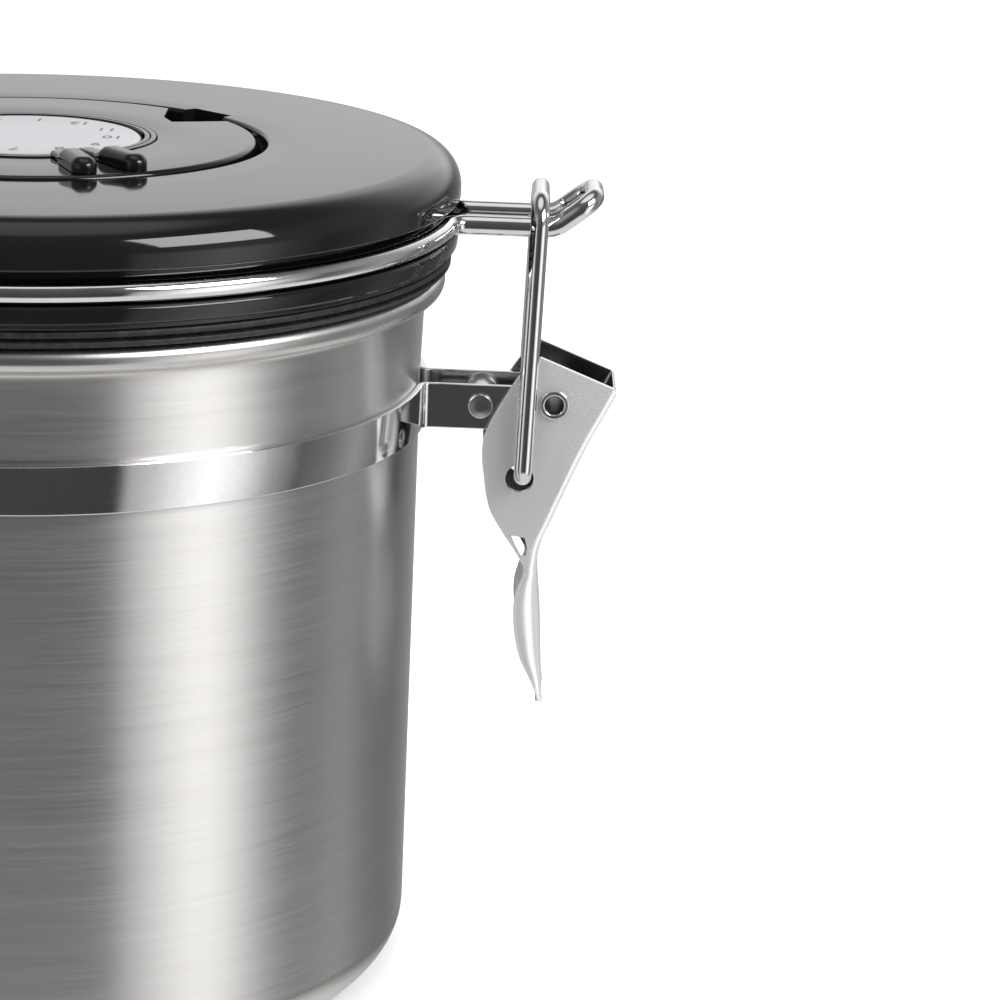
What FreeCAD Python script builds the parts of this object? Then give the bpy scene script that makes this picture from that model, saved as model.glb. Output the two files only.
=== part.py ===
import FreeCAD, Part
import Sketcher
import math
import os
from FreeCAD import Vector, Placement, Rotation

# Clip-top steel storage canister: a drawn steel can with a clamp band, a plastic
# lid carried by a wire bail at the rear, and an over-centre lever latch in front.
# Frame: origin at the centre of the base, +Z up, +X towards the latch. Millimetres.

doc = FreeCAD.newDocument("canister")
sheet = doc.addObject("Spreadsheet::Sheet", "Sizes")

SIZES = [
    # can
    ("can_radius", 57.0), ("can_inner_r", 56.3), ("can_floor_z", 0.9), ("base_z", 0.0),
    ("base_corner", 7.5), ("base_corner_in", 6.8), ("rim_low_z", 101.2), ("rim_shoulder_z", 102.8),
    ("rim_top_z", 105.2), ("rim_outer_r", 60.2), ("rim_round", 1.5), ("rim_round_in", 1.2),
    ("floor_top_z", 1.6), ("can_foot_r", 56.6), ("can_flare_r", 57.4), ("flare_low_z", 90.0), ("taper_top_z", 82.0),
    # clamp band and its two arms
    ("band_inner_r", 57.05), ("band_outer_r", 57.95), ("band_z", 82.6), ("band_tall", 6.6),
    ("arm_in_y", 3.9), ("arm_thick", 0.9), ("arm_end_x", 80.0), ("arm_start_x", 57.4), ("arm_bend_r", 1.6),
    ("arm_corner", 2.6), ("arm_full_y", 4.8),
    ("rivet_x", 66.0), ("rivet_z", 86.2), ("rivet_shank_r", 1.25), ("rivet_head_r", 1.85),
    ("rivet_grip", 4.81), ("rivet_tip", 5.85), ("rivet_dome", 0.55), ("rivet_neck_r", 1.75),
    ("spacer_r", 2.3), ("spacer_bore_r", 1.27), ("spacer_half", 3.88),
    ("pivot_x", 76.6), ("pivot_z", 87.0), ("pivot_shank_r", 1.6), ("pivot_bore_r", 1.15),
    ("pivot_hole_r", 1.66), ("pivot_flange_r", 2.15), ("pivot_mouth_r", 1.4), ("pivot_flange_y", 6.3),
    ("pivot_tip_y", 6.8), ("pivot_lip_y", 6.6), ("pivot_lip_r", 1.95), ("arm_hole_r", 1.61),
    # rear hinge
    ("hinge_x", -67.5), ("wire_z", 112.7), ("hinge_half", 5.3), ("hinge_sheet", 0.9),
    ("hinge_rivet_y", 3.0), ("hinge_rivet_z", 86.4), ("hinge_rivet_r", 0.85), ("hinge_head_r", 1.7),
    ("hinge_head_tall", 0.8), ("hinge_face_x", -59.3), ("hinge_shank", 2.35), ("hinge_shank_x", -57.1),
    # lid cover
    ("cover_r", 62.1), ("cover_top_z", 122.0), ("cover_edge", 5.0), ("cover_low_z", 115.5),
    ("cover_in_r", 59.9), ("cover_in_edge", 3.0), ("cover_under_z", 120.2), ("well_r", 34.1), ("well_out_r", 37.6),
    ("well_floor_z", 117.9), ("well_under_z", 116.5), ("well_hole_r", 20.0), ("well_lip", 0.6),
    ("cover_lip", 0.4),
    ("notch_angle", 48.0), ("notch_x", 35.4), ("notch_half", 4.6), ("notch_deep", 4.0), ("notch_wide", 1.15),
    # lid base
    ("ring_top_r", 61.9), ("ring_low_r", 60.9), ("ring_top_z", 111.1), ("ring_low_z", 107.8),
    ("groove_r", 59.2), ("base_lip_z", 116.6), ("base_cup_r", 56.9), ("base_step_z", 109.4),
    ("plug_r", 54.6), ("plug_in_r", 52.6), ("plug_low_z", 98.0), ("plug_floor_z", 99.8), ("vent_r", 15.0),
    ("ring_round", 0.7), ("plug_round", 1.2),
    # gasket
    ("gasket_in_r", 54.75), ("gasket_r", 61.0), ("gasket_low_z", 105.35), ("gasket_top_z", 107.7),
    ("gasket_low_r", 60.3), ("gasket_groove_r", 60.1), ("gasket_mid_a", 106.3), ("gasket_mid_b", 106.8),
    # wires
    ("lid_wire_d", 2.8), ("ring_wire_r", 60.9), ("front_leg_y", 5.5), ("rear_leg_y", 8.0),
    ("leg_blend", 3.0), ("loop_bend_x", 75.6), ("loop_tip_x", 81.1), ("loop_tip_z", 116.9),
    ("loop_bend_r", 4.0), ("pin_bend_r", 2.2),
    ("link_wire_d", 2.6), ("link_leg_y", 8.5), ("link_end_y", 5.0), ("link_low_x", 72.4), ("link_low_z", 76.4),
    ("link_top_x", 73.5), ("link_top_z", 116.6), ("link_top_bend", 3.8), ("link_low_bend", 1.9),
    # one-way valve in the lid floor
    ("seat_flange_r", 17.5), ("seat_flange_z", 99.9), ("seat_top_z", 101.4), ("seat_tube_r", 14.9),
    ("seat_low_z", 97.2), ("seat_floor_low", 99.0), ("seat_bore_r", 1.9), ("seat_tube_in_r", 13.0),
    ("seat_hole_r", 1.2), ("seat_hole_at", 6.0),
    ("flap_r", 10.0), ("flap_low_z", 101.45), ("flap_top_z", 102.25), ("flap_stem_r", 1.8), ("flap_bulb_r", 2.5),
    ("flap_bulb_top", 98.9), ("flap_bulb_low", 97.9), ("flap_dome_z", 102.9),
    ("filter_r", 12.8), ("filter_low_z", 96.6), ("filter_top_z", 97.7), ("filter_hole_r", 2.7),
    ("guard_r", 16.6), ("guard_in_r", 15.0), ("guard_low_z", 95.2), ("guard_floor_z", 96.4),
    ("guard_top_z", 97.9), ("guard_hole_r", 1.1), ("guard_hole_at", 6.5), ("guard_hole_at2", 10.8),
    # date dial
    ("cap_r", 32.6), ("cap_low_z", 118.05), ("cap_top_z", 122.3), ("cap_edge", 0.7), ("scoop_deep", 2.2), ("cap_bore_r", 18.4),
    ("cap_floor_z", 119.2), ("pedestal_r", 16.5), ("pedestal_z", 121.0), ("cap_foot_r", 31.0),
    ("disc_r", 16.2), ("disc_low_z", 121.05), ("disc_top_z", 122.35), ("disc_edge", 0.5),
    ("inner_ring_in", 16.65), ("inner_ring_out", 17.4), ("outer_ring_in", 17.55), ("outer_ring_out", 18.3),
    ("ring_floor_z", 119.3), ("carrier_top_z", 122.42), ("arm_under_z", 122.42), ("arm_over_z", 124.5),
    ("arm_tip_r", 31.9), ("arm_start_r", 19.8), ("neck_tall", 0.7), ("arm_half", 1.75), ("month_angle", -67.0), ("day_angle", -53.0), ("arm_soft", 0.85),
    # latch lever
    ("lever_half", 6.2), ("lever_in_half", 5.2), ("lever_sheet", 1.0), ("link_hole_x", 72.0), ("link_hole_z", 75.8),
    ("link_hole_r", 2.05),
]
S = {}
for row, (alias, value) in enumerate(SIZES, 1):
    sheet.set("A%d" % row, alias)
    sheet.set("B%d" % row, repr(float(value)))
    sheet.setAlias("B%d" % row, alias)
    S[alias] = float(value)
doc.recompute()


def ref(alias):
    return "Sizes." + alias


def origin_plane(body, role):
    return [o for o in body.Origin.OriginFeatures if o.Role == role][0]


def new_sketch(body, name, role="XZ_Plane"):
    sk = body.newObject("Sketcher::SketchObject", name)
    sk.AttachmentSupport = [(origin_plane(body, role), "")]
    sk.MapMode = "FlatFace"
    return sk


def polygon(sk, pts):
    """Closed outline whose corners are driven by sheet cells: each point is (alias or 0, alias or 0)."""
    val = [tuple((S[c] if isinstance(c, str) else float(c)) for c in p) for p in pts]
    n = len(pts)
    first = sk.GeometryCount
    for i in range(n):
        a, b = val[i], val[(i + 1) % n]
        sk.addGeometry(Part.LineSegment(Vector(a[0], a[1], 0), Vector(b[0], b[1], 0)), False)
    for i in range(n):
        sk.addConstraint(Sketcher.Constraint("Coincident", first + i, 2, first + (i + 1) % n, 1))
    for i, p in enumerate(pts):
        for axis, kind in ((0, "DistanceX"), (1, "DistanceY")):
            v = val[i][axis]
            if abs(v) < 1e-9:
                sk.addConstraint(Sketcher.Constraint("PointOnObject", first + i, 1, -2 if axis == 0 else -1))
            else:
                k = sk.addConstraint(Sketcher.Constraint(kind, -1, 1, first + i, 1, v))
                if isinstance(p[axis], str):
                    sk.setExpression("Constraints[%d]" % k, ref(p[axis]))


def circle(sk, cx, cz, radius):
    """Circle at sheet-driven coordinates with a sheet-driven radius."""
    gx = S[cx] if isinstance(cx, str) else float(cx)
    gz = S[cz] if isinstance(cz, str) else float(cz)
    g = sk.addGeometry(Part.Circle(Vector(gx, gz, 0), Vector(0, 0, 1), S[radius]), False)
    for name, v, kind in ((cx, gx, "DistanceX"), (cz, gz, "DistanceY")):
        if abs(v) < 1e-9:
            sk.addConstraint(Sketcher.Constraint("PointOnObject", g, 3, -2 if kind == "DistanceX" else -1))
        else:
            k = sk.addConstraint(Sketcher.Constraint(kind, -1, 1, g, 3, v))
            if isinstance(name, str):
                sk.setExpression("Constraints[%d]" % k, ref(name))
    k = sk.addConstraint(Sketcher.Constraint("Radius", g, S[radius]))
    sk.setExpression("Constraints[%d]" % k, ref(radius))


def turned(label, pts):
    """A body of revolution about its own Z axis."""
    body = doc.addObject("PartDesign::Body", label)
    body.Label = label
    sk = new_sketch(body, label + "_profile")
    polygon(sk, pts)
    rev = body.newObject("PartDesign::Revolution", label + "_turned")
    rev.Profile = sk
    rev.ReferenceAxis = (sk, ["V_Axis"])
    rev.Angle = 360.0
    body.Tip = rev
    doc.recompute()
    return body


def ring_edges(shape, r, z, tol=0.02):
    names = []
    for i, e in enumerate(shape.Edges, 1):
        if isinstance(e.Curve, Part.Circle) and abs(e.Curve.Radius - r) < tol and abs(e.Curve.Center.z - z) < tol:
            names.append("Edge%d" % i)
    return names


def round_rings(body, rings, radius):
    """Fillet the circular edges at the given (radius alias, height alias) pairs."""
    tip = body.Tip
    names = []
    for r, z in rings:
        names += ring_edges(tip.Shape, S[r], S[z])
    if not names:
        raise RuntimeError("no edge to round on " + body.Label)
    f = body.newObject("PartDesign::Fillet", body.Label + "_round")
    f.Base = (tip, names)
    f.Radius = S[radius]
    f.setExpression("Radius", ref(radius))
    body.Tip = f
    doc.recompute()


def round_where(body, pick, radius):
    """Fillet every edge for which pick(edge) is true."""
    tip = body.Tip
    names = ["Edge%d" % i for i, e in enumerate(tip.Shape.Edges, 1) if pick(e)]
    if not names:
        raise RuntimeError("no edge to round on " + body.Label)
    f = body.newObject("PartDesign::Fillet", body.Label + "_round")
    f.Base = (tip, names)
    f.Radius = S[radius]
    f.setExpression("Radius", ref(radius))
    body.Tip = f
    doc.recompute()


def must_shrink(body, before):
    after = body.Tip.Shape.Volume
    if not after < before - 1e-3:
        raise RuntimeError("cut removed nothing on " + body.Label)


nodes = []


def keep(obj):
    nodes.append(obj)
    return obj


# ---------------------------------------------------------------- can
can = turned("canister_body", [
    (0, "base_z"), ("can_foot_r", "base_z"), ("can_radius", "taper_top_z"), ("can_radius", "flare_low_z"),
    ("can_flare_r", "rim_low_z"), ("rim_outer_r", "rim_shoulder_z"), ("rim_outer_r", "rim_top_z"),
    ("can_inner_r", "rim_top_z"), ("can_inner_r", "floor_top_z"), (0, "floor_top_z")])
round_rings(can, [("can_foot_r", "base_z")], "base_corner")
round_rings(can, [("can_inner_r", "floor_top_z")], "base_corner_in")
round_rings(can, [("rim_outer_r", "rim_top_z"), ("rim_outer_r", "rim_shoulder_z")], "rim_round")
round_rings(can, [("can_inner_r", "rim_top_z")], "rim_round_in")
keep(can)

# ---------------------------------------------------------------- clamp band with its two arms
def part_cyl(name, radius, height, base):
    c = doc.addObject("Part::Cylinder", name)
    c.setExpression("Radius", ref(radius))
    c.setExpression("Height", ref(height))
    c.Placement = base
    return c


outer = part_cyl("band_outside", "band_outer_r", "band_tall", Placement(Vector(0, 0, S["band_z"]), Rotation()))
inner = part_cyl("band_inside", "band_inner_r", "band_tall", Placement(Vector(0, 0, S["band_z"]), Rotation()))
for c in (outer, inner):
    c.setExpression("Placement.Base.z", ref("band_z"))
hoop = doc.addObject("Part::Cut", "band_hoop")
hoop.Base, hoop.Tool = outer, inner


def band_box(name, x0, x1, y0, wide):
    b = doc.addObject("Part::Box", name)
    b.setExpression("Length", "%s - %s" % (ref(x1), ref(x0)))
    b.setExpression("Width", wide)
    b.setExpression("Height", ref("band_tall"))
    b.setExpression("Placement.Base.x", ref(x0))
    b.setExpression("Placement.Base.y", y0)
    b.setExpression("Placement.Base.z", ref("band_z"))
    return b


gap = band_box("band_gap", "arm_start_x", "arm_end_x", "-" + ref("arm_in_y"), "2 * " + ref("arm_in_y"))
gap.setExpression("Placement.Base.x", ref("arm_start_x") + " - 8")
split = doc.addObject("Part::Cut", "band_split")
split.Base, split.Tool = hoop, gap
arm_a = band_box("arm_near", "arm_start_x", "arm_end_x", "-" + ref("arm_full_y"), ref("arm_thick"))
arm_b = band_box("arm_far", "arm_start_x", "arm_end_x", ref("arm_in_y"), ref("arm_thick"))
strip = doc.addObject("Part::MultiFuse", "band_strip")
strip.Shapes = [split, arm_a, arm_b]
strip.Refine = True
doc.recompute()


def cross_cut(name, radius, x, z):
    c = doc.addObject("Part::Cylinder", name)
    c.setExpression("Radius", ref(radius))
    c.Height = 20.0
    c.Placement = Placement(Vector(S[x], -10.0, S[z]), Rotation(Vector(1, 0, 0), -90))
    c.setExpression("Placement.Base.x", ref(x))
    c.setExpression("Placement.Base.z", ref(z))
    return c


hinge_holes = []
for name, sign in (("hinge_hole_a", 1), ("hinge_hole_b", -1)):
    h = doc.addObject("Part::Cylinder", name)
    h.setExpression("Radius", ref("hinge_rivet_r"))
    h.Height = 4.0
    h.Placement = Placement(Vector(-60.0, sign * S["hinge_rivet_y"], S["hinge_rivet_z"]), Rotation(Vector(0, 1, 0), 90))
    h.setExpression("Placement.Base.y", "%d * %s" % (sign, ref("hinge_rivet_y")))
    h.setExpression("Placement.Base.z", ref("hinge_rivet_z"))
    hinge_holes.append(h)
holes = doc.addObject("Part::MultiFuse", "band_holes")
holes.Shapes = [cross_cut("arm_rivet_hole", "rivet_shank_r", "rivet_x", "rivet_z"),
                cross_cut("arm_pivot_hole", "arm_hole_r", "pivot_x", "pivot_z")] + hinge_holes
drilled = doc.addObject("Part::Cut", "band_drilled")
drilled.Base, drilled.Tool = strip, holes
doc.recompute()
soft = []
for i, e in enumerate(drilled.Shape.Edges, 1):
    v = [p.Point for p in e.Vertexes]
    if len(v) == 2:
        upright = abs(v[0].x - v[1].x) < 1e-4 and abs(v[0].y - v[1].y) < 1e-4
        across = abs(v[0].x - v[1].x) < 1e-4 and abs(v[0].z - v[1].z) < 1e-4 and abs(v[0].x - S["arm_end_x"]) < 1e-4
        if upright and 56.0 < v[0].x < 59.0 and abs(abs(v[0].y) - S["arm_full_y"]) < 0.02:
            soft.append((i, S["arm_bend_r"], S["arm_bend_r"]))
        if across:
            soft.append((i, S["arm_corner"], S["arm_corner"]))
band = doc.addObject("Part::Fillet", "strap_band")
band.Base = drilled
band.Edges = soft
band.Label = "strap_band"
keep(band)


def lay_across(body, x, z):
    """Turn a body made about Z so that its axis runs along Y through (x, z)."""
    body.Placement = Placement(Vector(S[x], 0, S[z]), Rotation(Vector(1, 0, 0), -90))
    body.setExpression("Placement.Base.x", ref(x))
    body.setExpression("Placement.Base.z", ref(z))


# solid rivet through both arms: shank with a domed head at each end
def neg(alias):
    name = "minus_" + alias
    if name not in S:
        row = len(S) + 1
        sheet.set("A%d" % row, name)
        sheet.set("B%d" % row, repr(-S[alias]))
        sheet.setAlias("B%d" % row, name)
        S[name] = -S[alias]
        doc.recompute()
    return name


rivet = turned("bracket_rivet", [
    (0, neg("rivet_tip")), ("rivet_shank_r", neg("rivet_tip")), ("rivet_neck_r", neg("rivet_tip")),
    ("rivet_head_r", neg("rivet_grip")), ("rivet_shank_r", neg("rivet_grip")), ("rivet_shank_r", "rivet_grip"),
    ("rivet_head_r", "rivet_grip"), ("rivet_neck_r", "rivet_tip"), (0, "rivet_tip")])
round_rings(rivet, [("rivet_neck_r", "rivet_tip"), ("rivet_neck_r", neg("rivet_tip"))], "rivet_dome")
lay_across(rivet, "rivet_x", "rivet_z")
keep(rivet)

spacer = turned("bracket_spacer", [
    ("spacer_bore_r", neg("spacer_half")), ("spacer_r", neg("spacer_half")),
    ("spacer_r", "spacer_half"), ("spacer_bore_r", "spacer_half")])
lay_across(spacer, "rivet_x", "rivet_z")
keep(spacer)

pivot = turned("lever_pivot_rivet", [
    ("pivot_mouth_r", neg("pivot_tip_y")), ("pivot_lip_r", neg("pivot_tip_y")), ("pivot_flange_r", neg("pivot_lip_y")),
    ("pivot_flange_r", neg("pivot_flange_y")), ("pivot_shank_r", neg("pivot_flange_y")),
    ("pivot_shank_r", "pivot_flange_y"), ("pivot_flange_r", "pivot_flange_y"), ("pivot_flange_r", "pivot_lip_y"),
    ("pivot_lip_r", "pivot_tip_y"), ("pivot_mouth_r", "pivot_tip_y"), ("pivot_bore_r", "arm_full_y"),
    ("pivot_bore_r", neg("arm_full_y"))])
lay_across(pivot, "pivot_x", "pivot_z")
keep(pivot)

# ---------------------------------------------------------------- rear hinge bracket
# One pressed strip: a foot riveted on the band, a slope that clears the rim, and an
# upright whose top is rolled into a knuckle round the lid wire.
def arc3(a, b, c):
    return Part.Arc(Vector(*a), Vector(*b), Vector(*c)).toShape()


def hinge_bracket_shape():
    t = S["hinge_sheet"]
    ax, az = S["hinge_x"], S["wire_z"]
    ri = 0.5 * S["lid_wire_d"] + 0.05
    ro = ri + t
    fx = -S["band_outer_r"] - 0.02
    # middle line of the strip as offset corners, outer side first
    path = [(fx, 82.4), (fx, 91.6), (ax - ri, 101.2), (ax - ri, az)]

    def offset(pts, d):
        out = []
        for i, p in enumerate(pts):
            dirs = []
            if i > 0:
                q = pts[i - 1]
                dirs.append((p[0] - q[0], p[1] - q[1]))
            if i < len(pts) - 1:
                q = pts[i + 1]
                dirs.append((q[0] - p[0], q[1] - p[1]))
            ns = []
            for dx, dz in dirs:
                k = math.hypot(dx, dz)
                ns.append((-dz / k, dx / k))
            if len(ns) == 1:
                n = ns[0]
                out.append((p[0] + n[0] * d, p[1] + n[1] * d))
            else:
                mx, mz = ns[0][0] + ns[1][0], ns[0][1] + ns[1][1]
                k = mx * ns[0][0] + mz * ns[0][1]
                out.append((p[0] + mx * d / k, p[1] + mz * d / k))
        return out
    far = offset(path, t)
    y = -S["hinge_half"]
    edges = []

    def seg(a, b):
        edges.append(Part.makeLine(Vector(a[0], y, a[1]), Vector(b[0], y, b[1])))

    def on(r, deg):
        return (ax + r * math.cos(math.radians(deg)), y, az + r * math.sin(math.radians(deg)))
    for i in range(3):
        seg(path[i], path[i + 1])
    end = -62.0
    edges.append(arc3(on(ri, 180), on(ri, 60), on(ri, end)))
    a, b = on(ri, end), on(ro, end)
    edges.append(Part.makeLine(Vector(*a), Vector(*b)))
    edges.append(arc3(on(ro, end), on(ro, 60), on(ro, 180)))
    for i in range(3, 0, -1):
        seg(far[i], far[i - 1])
    seg(far[0], path[0])
    face = Part.Face(Part.Wire(Part.__sortEdges__(edges)))
    solid = face.extrude(Vector(0, 2 * S["hinge_half"], 0))
    bends = []
    for e in solid.Edges:
        v = [p.Point for p in e.Vertexes]
        if len(v) == 2 and abs(v[0].x - v[1].x) < 1e-6 and abs(v[0].z - v[1].z) < 1e-6:
            for (px, pz), r in ((path[1], 3.2), (path[2], 2.3), (far[1], 2.3), (far[2], 3.2)):
                if abs(v[0].x - px) < 1e-4 and abs(v[0].z - pz) < 1e-4:
                    bends.append((e, r))
    for r in (2.3, 3.2):
        group = [e for e, rr in bends if rr == r]
        again = []
        for e in group:
            m = e.valueAt(0.5 * (e.FirstParameter + e.LastParameter))
            again += [q for q in solid.Edges if q.distToShape(Part.Vertex(m))[0] < 1e-5 and len(q.Vertexes) == 2]
        solid = solid.makeFillet(r, again)
    for sign in (1, -1):
        hole = Part.makeCylinder(S["hinge_rivet_r"], 6.0, Vector(-61.0, sign * S["hinge_rivet_y"], S["hinge_rivet_z"]),
                                 Vector(1, 0, 0))
        solid = solid.cut(hole)
    # rounded foot corners
    foot = [e for e in solid.Edges if len(e.Vertexes) == 2 and abs(e.Vertexes[0].Z - e.Vertexes[1].Z) < 1e-6
            and abs(e.Vertexes[0].Z - 82.4) < 1e-4 and abs(e.Vertexes[0].Y - e.Vertexes[1].Y) < 1e-6
            and abs(abs(e.Vertexes[0].Y) - S["hinge_half"]) < 1e-4]
    if foot:
        solid = solid.makeFillet(1.6, foot)
    return solid


bracket = doc.addObject("Part::Feature", "hinge_bracket")
bracket.Shape = hinge_bracket_shape()
bracket.Placement = Placement()
bracket.Label = "hinge_bracket"
keep(bracket)

rivets = []
for tag, sign in (("a", 1), ("b", -1)):
    shank = doc.addObject("Part::Cylinder", "hinge_shank_" + tag)
    shank.setExpression("Radius", ref("hinge_rivet_r"))
    shank.setExpression("Height", ref("hinge_shank"))
    shank.Placement = Placement(Vector(S["hinge_shank_x"], sign * S["hinge_rivet_y"], S["hinge_rivet_z"]),
                                Rotation(Vector(0, 1, 0), -90))
    head = doc.addObject("Part::Cone", "hinge_head_" + tag)
    head.setExpression("Radius1", ref("hinge_head_r"))
    head.setExpression("Radius2", ref("hinge_head_r") + " * 0.62")
    head.setExpression("Height", ref("hinge_head_tall"))
    head.Placement = Placement(Vector(-S["band_outer_r"] - 0.03 - S["hinge_sheet"], sign * S["hinge_rivet_y"],
                                      S["hinge_rivet_z"]), Rotation(Vector(0, 1, 0), -90))
    one = doc.addObject("Part::MultiFuse", "hinge_rivet_" + tag)
    one.Shapes = [shank, head]
    rivets.append(one)
group = doc.addObject("Part::Compound", "hinge_rivets")
group.Links = rivets
group.Label = "hinge_rivets"
keep(group)

# ---------------------------------------------------------------- lid cover
cover = turned("lid_cover", [
    ("cover_r", "cover_low_z"), ("cover_r", "cover_top_z"), ("well_r", "cover_top_z"), ("well_r", "well_floor_z"),
    ("well_hole_r", "well_floor_z"), ("well_hole_r", "well_under_z"), ("well_out_r", "well_under_z"),
    ("well_out_r", "cover_under_z"), ("cover_in_r", "cover_under_z"), ("cover_in_r", "cover_low_z")])
round_rings(cover, [("cover_r", "cover_top_z")], "cover_edge")
round_rings(cover, [("cover_in_r", "cover_under_z")], "cover_in_edge")
round_rings(cover, [("well_r", "cover_top_z")], "well_lip")
round_rings(cover, [("cover_r", "cover_low_z")], "cover_lip")
# fingernail notch in the wall of the well
before = cover.Tip.Shape.Volume
nsk = new_sketch(cover, "notch_outline", "XY_Plane")
ang = math.radians(S["notch_angle"])
u, w = (math.cos(ang), math.sin(ang)), (-math.sin(ang), math.cos(ang))


def notch_pt(along, side):
    return Vector(u[0] * along + w[0] * side, u[1] * along + w[1] * side, 0)


corners = [notch_pt(S["well_r"] - 2.2, -S["notch_half"]), notch_pt(S["notch_x"] + S["notch_wide"], -S["notch_half"] + 0.9),
           notch_pt(S["notch_x"] + S["notch_wide"], S["notch_half"] - 0.5), notch_pt(S["well_r"] - 2.2, S["notch_half"])]
for i in range(4):
    nsk.addGeometry(Part.LineSegment(corners[i], corners[(i + 1) % 4]), False)
for i in range(4):
    nsk.addConstraint(Sketcher.Constraint("Coincident", i, 2, (i + 1) % 4, 1))
for i in range(4):
    nsk.addConstraint(Sketcher.Constraint("DistanceX", -1, 1, i, 1, corners[i].x))
    nsk.addConstraint(Sketcher.Constraint("DistanceY", -1, 1, i, 1, corners[i].y))
nsk.AttachmentOffset = Placement(Vector(0, 0, S["cover_top_z"] + 0.5), Rotation())
nsk.setExpression("AttachmentOffset.Base.z", ref("cover_top_z") + " + 0.5")
notch = cover.newObject("PartDesign::Pocket", "nail_notch")
notch.Profile = nsk
notch.Length = S["notch_deep"]
notch.setExpression("Length", ref("notch_deep") + " - 0.6")
cover.Tip = notch
doc.recompute()
must_shrink(cover, before)
keep(cover)

# ---------------------------------------------------------------- lid base with its plug
base = turned("lid_base", [
    ("vent_r", "plug_low_z"), ("plug_r", "plug_low_z"), ("plug_r", "ring_low_z"), ("ring_low_r", "ring_low_z"),
    ("ring_top_r", "ring_top_z"), ("groove_r", "ring_top_z"), ("groove_r", "base_lip_z"), ("base_cup_r", "base_lip_z"),
    ("base_cup_r", "base_step_z"), ("plug_in_r", "base_step_z"), ("plug_in_r", "plug_floor_z"), ("vent_r", "plug_floor_z")])
round_rings(base, [("ring_top_r", "ring_top_z")], "ring_round")
round_rings(base, [("plug_r", "plug_low_z")], "plug_round")
keep(base)

gasket = turned("lid_gasket", [
    ("gasket_in_r", "gasket_low_z"), ("gasket_low_r", "gasket_low_z"), ("gasket_r", "gasket_mid_a"),
    ("gasket_groove_r", "gasket_mid_b"), ("gasket_r", "gasket_top_z"), ("gasket_in_r", "gasket_top_z")])
keep(gasket)

# ---------------------------------------------------------------- wire forms
def bent_path(points, radii):
    """Straight runs joined by tangent arcs; radii[i] rounds inner corner i."""
    pts = [Vector(*p) for p in points]
    edges, cur = [], pts[0]
    for i in range(1, len(pts) - 1):
        a = (pts[i - 1] - pts[i])
        b = (pts[i + 1] - pts[i])
        a.normalize()
        b.normalize()
        half = 0.5 * a.getAngle(b)
        r = radii[i - 1]
        cut = r / math.tan(half)
        p, q = pts[i] + a * cut, pts[i] + b * cut
        mid = (a + b)
        mid.normalize()
        m = pts[i] + mid * (r / math.sin(half) - r)
        if (p - cur).Length > 1e-6:
            edges.append(Part.makeLine(cur, p))
        edges.append(Part.Arc(p, m, q).toShape())
        cur = q
    if (pts[-1] - cur).Length > 1e-6:
        edges.append(Part.makeLine(cur, pts[-1]))
    return edges


def pipe(edges, radius):
    """Round rod along the path: each straight or bent length made in turn, then joined end to end."""
    pieces = []
    for e in edges:
        start = e.valueAt(e.FirstParameter)
        d = e.tangentAt(e.FirstParameter)
        if isinstance(e.Curve, Part.Line):
            pieces.append(Part.makeCylinder(radius, e.Length, start, d))
        else:
            prof = Part.Wire([Part.Circle(start, d, radius).toShape()])
            pieces.append(Part.Wire([e]).makePipeShell([prof], True, False))
    solid = pieces[0].fuse(pieces[1:])
    return solid.removeSplitter()


def lid_wire_half():
    """Half of the closed wire, y >= 0, from the hinge pin round to the catch loop."""
    r = 0.5 * S["lid_wire_d"]
    R, z, k = S["ring_wire_r"], S["wire_z"], S["leg_blend"]

    def blend(leg_y, sign):
        cy = leg_y + k
        cx = sign * math.sqrt((R + k) ** 2 - cy ** 2)
        on_ring = Vector(cx * R / (R + k), cy * R / (R + k), z)
        on_leg = Vector(cx, leg_y, z)
        c = Vector(cx, cy, z)
        m = on_ring + on_leg - c * 2
        m.normalize()
        return on_ring, c + m * k, on_leg
    fr, fm, fl = blend(S["front_leg_y"], 1)
    rr, rm, rl = blend(S["rear_leg_y"], -1)
    rear = bent_path([(S["hinge_x"], 0, z), (S["hinge_x"], S["rear_leg_y"], z), tuple(rl)], [S["pin_bend_r"]])
    a0 = math.atan2(rr.y, rr.x)
    a1 = math.atan2(fr.y, fr.x)
    am = 0.5 * (a0 + a1)
    ring = [Part.Arc(rl, rm, rr).toShape(),
            Part.Arc(rr, Vector(R * math.cos(am), R * math.sin(am), z), fr).toShape(),
            Part.Arc(fr, fm, fl).toShape()]
    y = S["front_leg_y"]
    front = bent_path([tuple(fl), (S["loop_bend_x"], y, z), (S["loop_tip_x"], y, S["loop_tip_z"]),
                       (S["loop_tip_x"], 0, S["loop_tip_z"])], [S["loop_bend_r"], y])
    solid = pipe(rear + ring + front, r)
    return solid


half = lid_wire_half()
box_keep = Part.makeBox(200, 100, 60, Vector(-100, 0, 90))
half = half.common(box_keep)
other = half.mirror(Vector(0, 0, 0), Vector(0, 1, 0))
whole = half.fuse(other).removeSplitter()
lid_wire = doc.addObject("Part::Feature", "lid_wire")
lid_wire.Shape = whole.Solids[0] if len(whole.Solids) == 1 else whole
lid_wire.Placement = Placement()
lid_wire.Label = "lid_wire"
keep(lid_wire)

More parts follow.
